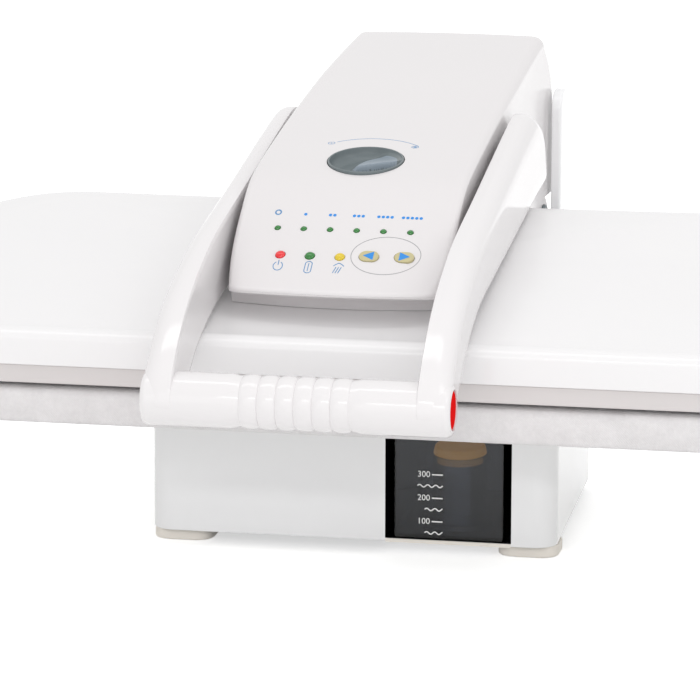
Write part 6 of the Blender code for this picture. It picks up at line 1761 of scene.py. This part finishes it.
def make_tank():
    """Tank with its lid, filter tube, cap and level scale."""
    smoke = clear_material("clear_plastic", finishes().smoke, 0.03)
    bottom, top = TANK_LOW[2], TANK_HIGH[2]
    profile = softened(
        [(0.02, bottom), (0, bottom), (0, top), (TANK_WALL, top), (TANK_WALL, bottom + TANK_WALL),
         (0.02, bottom + TANK_WALL)],
        [0, 0.0010, 0.0005, 0.0005, 0.0012, 0], 4,
    )
    piece_of("water_tank_skin", [(poled(levels(profile, tank_outline)), True, False)], smoke, "tank",
             ("water_tank",))
    white = white_plastic()
    high = LID_HIGH[2]
    shelf = high - LID_THICKNESS
    lid_profile = softened(
        [(TANK_WALL * 2, shelf - 0.003), (TANK_WALL + 0.0003, shelf - 0.003), (TANK_WALL + 0.0003, shelf),
         (0, shelf), (0, high), (0.02, high)],
        [0, 0.0004, 0.0002, 0.0003, 0.0007, 0], 4,
    )
    inner = np.array([(0.02, shelf), (TANK_WALL * 2, shelf)])
    lid = levels(np.concatenate([inner, lid_profile]), tank_outline)
    piece_of("tank_lid_skin", [(poled(lid), True, False)], white, "tank", ("tank_lid",))
    tube_middle = (TUBE_LOW + TUBE_HIGH) / 2
    place = place_at((tube_middle[0], tube_middle[1], TUBE_LOW[2]))
    tube = clear_material("tube_plastic", finishes().tube, 0.04, finishes().tube_edge_painted_shade)
    height = TUBE_HIGH[2] - TUBE_LOW[2]
    tube_profile = softened(
        [(0.0154, 0), (0.0205, 0), (0.0205, 0.0025), (0.017, 0.0025), (0.017, height), (0.0154, height)],
        [0.0004, 0.0006, 0.0006, 0.0012, 0.0004, 0.0004], 4, closed=True,
    )
    piece_of("filter_tube_skin", [lathe(tube_profile, place, 72, True)], tube, "tank",
             ("filter_tube",))
    # Painted light: the cap is no lamp, and its faint emission brightens it behind the smoked tank
    glow = {"Emission Color": (*finishes().filter_tan, 1), "Emission Strength": 0.40}
    tan = plastic("filter_tan", finishes().filter_tan, 0.40, 0.3, 1200.0, 0.00003, **glow)
    cap_low, cap_high = (corner[2] - TUBE_LOW[2] for corner in corners("filter_cap"))
    cap_profile = softened(
        [(0, cap_low), (0.0150, cap_low), (0.0150, height + 0.0003), (0.0167, height + 0.0003),
         (0.0157, cap_high - 0.0006), (0.0140, cap_high), (0, cap_high)],
        [0, 0.0006, 0.0002, 0.0004, 0.0008, 0.0008, 0], 5,
    )
    piece_of("filter_cap_skin", [lathe(cap_profile, place, 72)], tan, "tank", ("filter_cap",))
    print_white = plastic("scale_print", finishes().scale_print, 0.4, 0.1)
    front = TANK_LOW[1] - 0.00002
    marks = []
    for z, _, reach in LEVELS:
        path = np.column_stack([np.linspace(SCALE_RIGHT - 0.0068, SCALE_RIGHT, 4), np.full(4, z)])
        marks.append(ribbon(path, 0.0008, front))
        marks.append(wavy(SCALE_RIGHT - reach, SCALE_RIGHT, z - 0.0073, front))
    piece_of("level_marks", marks, print_white, "tank")
    for z, text, _ in LEVELS:
        mesh = scale_number(text, SCALE_RIGHT - 0.0078, z, front - 0.00003)
        mesh.materials.clear()
        finish_piece(new_object(f"level_number_{text}", mesh, [print_white]), "tank")


# Finishes of the CAD nodes that stay in view


def make_inner_finishes():
    """Metal, plastic and board finishes for the CAD nodes without a skin."""
    steel = metal("steel", (0.56, 0.56, 0.57), 0.20)
    zinc = metal("zinc_plate", (0.60, 0.60, 0.58), 0.28, (300.0, 300.0, 300.0), 0.6)
    aluminium = metal("aluminium", (0.46, 0.46, 0.47), 0.24, (900.0, 40.0, 900.0), 0.25)
    brass = metal("brass", (0.70, 0.50, 0.22), 0.22, (900.0, 900.0, 900.0))
    dark = dark_plastic()
    grey = plastic("floor_grey", (0.24, 0.25, 0.26), 0.5, 0.3, 1300.0, 0.00005)
    circuit = plastic("circuit", (0.008, 0.10, 0.03), 0.35, 0.5, 600.0, 0.00008)
    heater = metal("heater_sheath", (0.24, 0.22, 0.20), 0.40, (60.0, 60.0, 60.0), 0.8)
    chosen = {
        "floor_plate": grey, "tower_floor_plate": grey, "board_bracket": zinc, "board_pan": zinc,
        "tank_socket": dark, "water_pump": dark, "suction_hose": dark, "tank_valve": dark,
        "heating_plate": aluminium, "steam_chamber_cover": aluminium, "heating_element": heater,
        "thermostat": steel, "control_board": circuit, "rotary_control": dark, "hinge_bush_left": brass,
        "hinge_bush_right": brass,
    }
    for name, shape in frame["nodes"].items():
        finish = chosen.get(name, steel)
        if shape.hide_render:
            continue
        for place in shape.material_slots:
            place.material = finish


# Stage


def lamp(name, spot, aim, width, depth, power):
    """Area lamp at a point, turned to shine at another."""
    light = bpy.data.lights.new(name, "AREA")
    light.shape = "RECTANGLE"
    light.size = width
    light.size_y = depth
    light.energy = power
    made = bpy.data.objects.new(name, light)
    origin, axes = place_at(spot, np.asarray(spot, float) - np.asarray(aim, float))
    matrix = np.eye(4)
    matrix[:3, :3] = axes.T
    matrix[:3, 3] = origin
    made.matrix_world = Matrix(matrix.tolist())
    bpy.context.scene.collection.objects.link(made)


def seen_directly(tree):
    """Largest of the camera, glossy and transmission ray flags."""
    path = tree.nodes.new("ShaderNodeLightPath").outputs
    surface = maths(tree, "MAXIMUM", path["Is Camera Ray"], path["Is Glossy Ray"])
    return maths(tree, "MAXIMUM", surface, path["Is Transmission Ray"])


def make_world():
    """Even light, and plain white where the world itself is seen."""
    settings = stage_settings()
    world = bpy.context.scene.world or bpy.data.worlds.new("world")
    bpy.context.scene.world = world
    world.use_nodes = True
    tree = world.node_tree
    tree.nodes.clear()
    backgrounds = [
        node(tree, "ShaderNodeBackground", Color=(1, 1, 1, 1), Strength=strength).outputs[0]
        for strength in (settings.world_light, 1.0)
    ]
    mix = node(tree, "ShaderNodeMixShader", _0=seen_directly(tree), _1=backgrounds[0], _2=backgrounds[1])
    node(tree, "ShaderNodeOutputWorld", Surface=mix.outputs[0])


FLOOR_REACH = 9.0
FLOOR_LEVEL = -0.0002


def make_floor():
    """Large pale floor that keeps the shadow and looks white to the camera."""
    reach, level = FLOOR_REACH, FLOOR_LEVEL
    points = np.array([[(x, y, level) for x in (-reach, reach)] for y in (-reach, reach)])
    mesh = grid_mesh("floor", [(points, False, False)])
    made, tree, shader = principled("floor_white", **{
        "Base Color": (0.90, 0.90, 0.90, 1), "Roughness": 0.9, **NO_GLOSS,
    })
    strength = maths(tree, "MULTIPLY", seen_directly(tree), stage_settings().floor_lift)
    lift = node(tree, "ShaderNodeEmission", Strength=strength)
    both = node(tree, "ShaderNodeAddShader", _0=shader.outputs[0], _1=lift.outputs[0])
    tree.links.new(both.outputs[0], tree.nodes["Material Output"].inputs["Surface"])
    floor = new_object("floor", mesh, [made])
    if floor.data.polygons[0].normal.z < 0:
        floor.data.flip_normals()


AIM = np.array([-0.0103, -0.049, 0.1173])


def make_camera():
    """Camera of the photograph: it looks along the yaw and pitch at the aimed point."""
    settings = stage_settings()
    yaw, pitch, roll = settings.camera_yaw, settings.camera_pitch, settings.camera_roll
    ahead = np.array([-math.sin(yaw) * math.cos(pitch), math.cos(yaw) * math.cos(pitch), -math.sin(pitch)])
    level = np.array([math.cos(yaw), math.sin(yaw), 0.0])
    over = np.cross(level, ahead)
    right = math.cos(roll) * level + math.sin(roll) * over
    up = math.cos(roll) * over - math.sin(roll) * level
    matrix = np.eye(4)
    matrix[:3, 0], matrix[:3, 1], matrix[:3, 2] = right, up, -ahead
    matrix[:3, 3] = AIM - ahead * settings.camera_distance
    data = bpy.data.cameras.new("camera")
    data.sensor_width = 36.0
    data.lens = settings.focal_pixels * data.sensor_width / 700
    data.clip_start, data.clip_end = 0.05, 60.0
    camera = bpy.data.objects.new("camera", data)
    camera.matrix_world = Matrix(matrix.tolist())
    bpy.context.scene.collection.objects.link(camera)
    bpy.context.scene.camera = camera


def make_stage():
    """View transform, camera, world, floor and the four lamps."""
    settings = stage_settings()
    bpy.context.scene.view_settings.view_transform = "Standard"
    make_camera()
    make_world()
    make_floor()
    lamp("top_lamp", (-0.15, -0.30, 1.75), (0, 0, 0.15), 1.9, 0.26, settings.top_light)
    lamp("front_lamp", (0.45, -2.3, 1.10), (0, -0.20, 0.15), 1.9, 0.12, settings.front_light)
    lamp("fill_lamp", (-0.10, -2.6, 0.55), (0, -0.05, 0.10), 2.2, 1.0, settings.fill_light)
    lamp("side_lamp", (1.35, -0.75, 1.25), (-0.05, -0.1, 0.20), 0.9, 0.5, settings.side_light)


# Operators


class PRESS_OT_board_pad(bpy.types.Operator):
    """Build the padded board cover with its hem"""

    bl_idname = "press.board_pad"
    bl_label = "Board pad"

    def execute(self, context):
        make_pad()
        return {"FINISHED"}


class PRESS_OT_head_shell(bpy.types.Operator):
    """Build the head shell"""

    bl_idname = "press.head_shell"
    bl_label = "Head shell"

    def execute(self, context):
        make_head_shell()
        return {"FINISHED"}


class PRESS_OT_plate_rim(bpy.types.Operator):
    """Build the rim round the heating plate"""

    bl_idname = "press.plate_rim"
    bl_label = "Plate rim"

    def execute(self, context):
        make_rim()
        return {"FINISHED"}


class PRESS_OT_control_housing(bpy.types.Operator):
    """Build the control housing and its rear cover"""

    bl_idname = "press.control_housing"
    bl_label = "Control housing"

    def execute(self, context):
        make_housing()
        return {"FINISHED"}


class PRESS_OT_lamps(bpy.types.Operator):
    """Build the status lights and the three lamps"""

    bl_idname = "press.lamps"
    bl_label = "Lamps"

    def execute(self, context):
        make_lamps()
        return {"FINISHED"}


class PRESS_OT_set_buttons(bpy.types.Operator):
    """Build the two set buttons with their arrows"""

    bl_idname = "press.set_buttons"
    bl_label = "Set buttons"

    def execute(self, context):
        make_buttons()
        return {"FINISHED"}


class PRESS_OT_panel_marks(bpy.types.Operator):
    """Build the printed marks of the panel and the deck"""

    bl_idname = "press.panel_marks"
    bl_label = "Panel marks"

    def execute(self, context):
        make_marks()
        return {"FINISHED"}


class PRESS_OT_steam_knob(bpy.types.Operator):
    """Build the dished steam knob"""

    bl_idname = "press.steam_knob"
    bl_label = "Steam knob"

    def execute(self, context):
        make_knob()
        return {"FINISHED"}


class PRESS_OT_handle(bpy.types.Operator):
    """Build the yoke handle and its end caps"""

    bl_idname = "press.handle"
    bl_label = "Handle"

    def execute(self, context):
        make_handle()
        return {"FINISHED"}


class PRESS_OT_base(bpy.types.Operator):
    """Build the base housing with its tank bay"""

    bl_idname = "press.base"
    bl_label = "Base"

    def execute(self, context):
        make_base()
        return {"FINISHED"}


class PRESS_OT_feet(bpy.types.Operator):
    """Build the four rubber feet"""

    bl_idname = "press.feet"
    bl_label = "Feet"

    def execute(self, context):
        make_feet()
        return {"FINISHED"}


class PRESS_OT_rear_tower(bpy.types.Operator):
    """Build the rear tower, its inlet collar and the hinge caps"""

    bl_idname = "press.rear_tower"
    bl_label = "Rear tower"

    def execute(self, context):
        make_tower()
        return {"FINISHED"}


class PRESS_OT_water_tank(bpy.types.Operator):
    """Build the water tank, its filter tube, cap, lid and level scale"""

    bl_idname = "press.water_tank"
    bl_label = "Water tank"

    def execute(self, context):
        make_tank()
        return {"FINISHED"}


class PRESS_OT_inner_finishes(bpy.types.Operator):
    """Give the inner parts their metal, plastic and board finishes"""

    bl_idname = "press.inner_finishes"
    bl_label = "Inner finishes"

    def execute(self, context):
        make_inner_finishes()
        return {"FINISHED"}


class PRESS_OT_stage(bpy.types.Operator):
    """Set up the camera, the lamps, the world and the floor"""

    bl_idname = "press.stage"
    bl_label = "Stage"

    def execute(self, context):
        make_stage()
        return {"FINISHED"}


STEPS = (
    PRESS_OT_stage, PRESS_OT_board_pad, PRESS_OT_head_shell, PRESS_OT_plate_rim, PRESS_OT_control_housing,
    PRESS_OT_lamps, PRESS_OT_set_buttons, PRESS_OT_panel_marks, PRESS_OT_steam_knob, PRESS_OT_handle,
    PRESS_OT_base, PRESS_OT_feet, PRESS_OT_rear_tower, PRESS_OT_water_tank, PRESS_OT_inner_finishes,
)


class PRESS_PT_panel(bpy.types.Panel):
    """Sidebar panel with the press's steps and settings"""

    bl_idname = "PRESS_PT_panel"
    bl_label = "Steam ironing press"
    bl_space_type = "VIEW_3D"
    bl_region_type = "UI"
    bl_category = "Press"

    def draw(self, context):
        for step in STEPS:
            self.layout.operator(step.bl_idname)
        for label, settings in (
            ("Sizes", context.scene.press_sizes), ("Colours", context.scene.press_finishes),
            ("Stage", context.scene.press_stage),
        ):
            column = self.layout.column()
            column.label(text=label)
            for name in settings.bl_rna.properties.keys():
                if name not in ("rna_type", "name"):
                    column.prop(settings, name)


CLASSES = (PressSizes, PressFinishes, PressStage) + STEPS + (PRESS_PT_panel,)


def register():
    for each in CLASSES:
        bpy.utils.register_class(each)
    bpy.types.Scene.press_sizes = bpy.props.PointerProperty(type=PressSizes)
    bpy.types.Scene.press_finishes = bpy.props.PointerProperty(type=PressFinishes)
    bpy.types.Scene.press_stage = bpy.props.PointerProperty(type=PressStage)


def unregister():
    del bpy.types.Scene.press_sizes
    del bpy.types.Scene.press_finishes
    del bpy.types.Scene.press_stage
    for each in reversed(CLASSES):
        bpy.utils.unregister_class(each)


def main():
    register()
    bpy.ops.press.stage()
    bpy.ops.press.board_pad()
    bpy.ops.press.head_shell()
    bpy.ops.press.plate_rim()
    bpy.ops.press.control_housing()
    bpy.ops.press.lamps()
    bpy.ops.press.set_buttons()
    bpy.ops.press.panel_marks()
    bpy.ops.press.steam_knob()
    bpy.ops.press.handle()
    bpy.ops.press.base()
    bpy.ops.press.feet()
    bpy.ops.press.rear_tower()
    bpy.ops.press.water_tank()
    bpy.ops.press.inner_finishes()


if __name__ == "__main__":
    main()
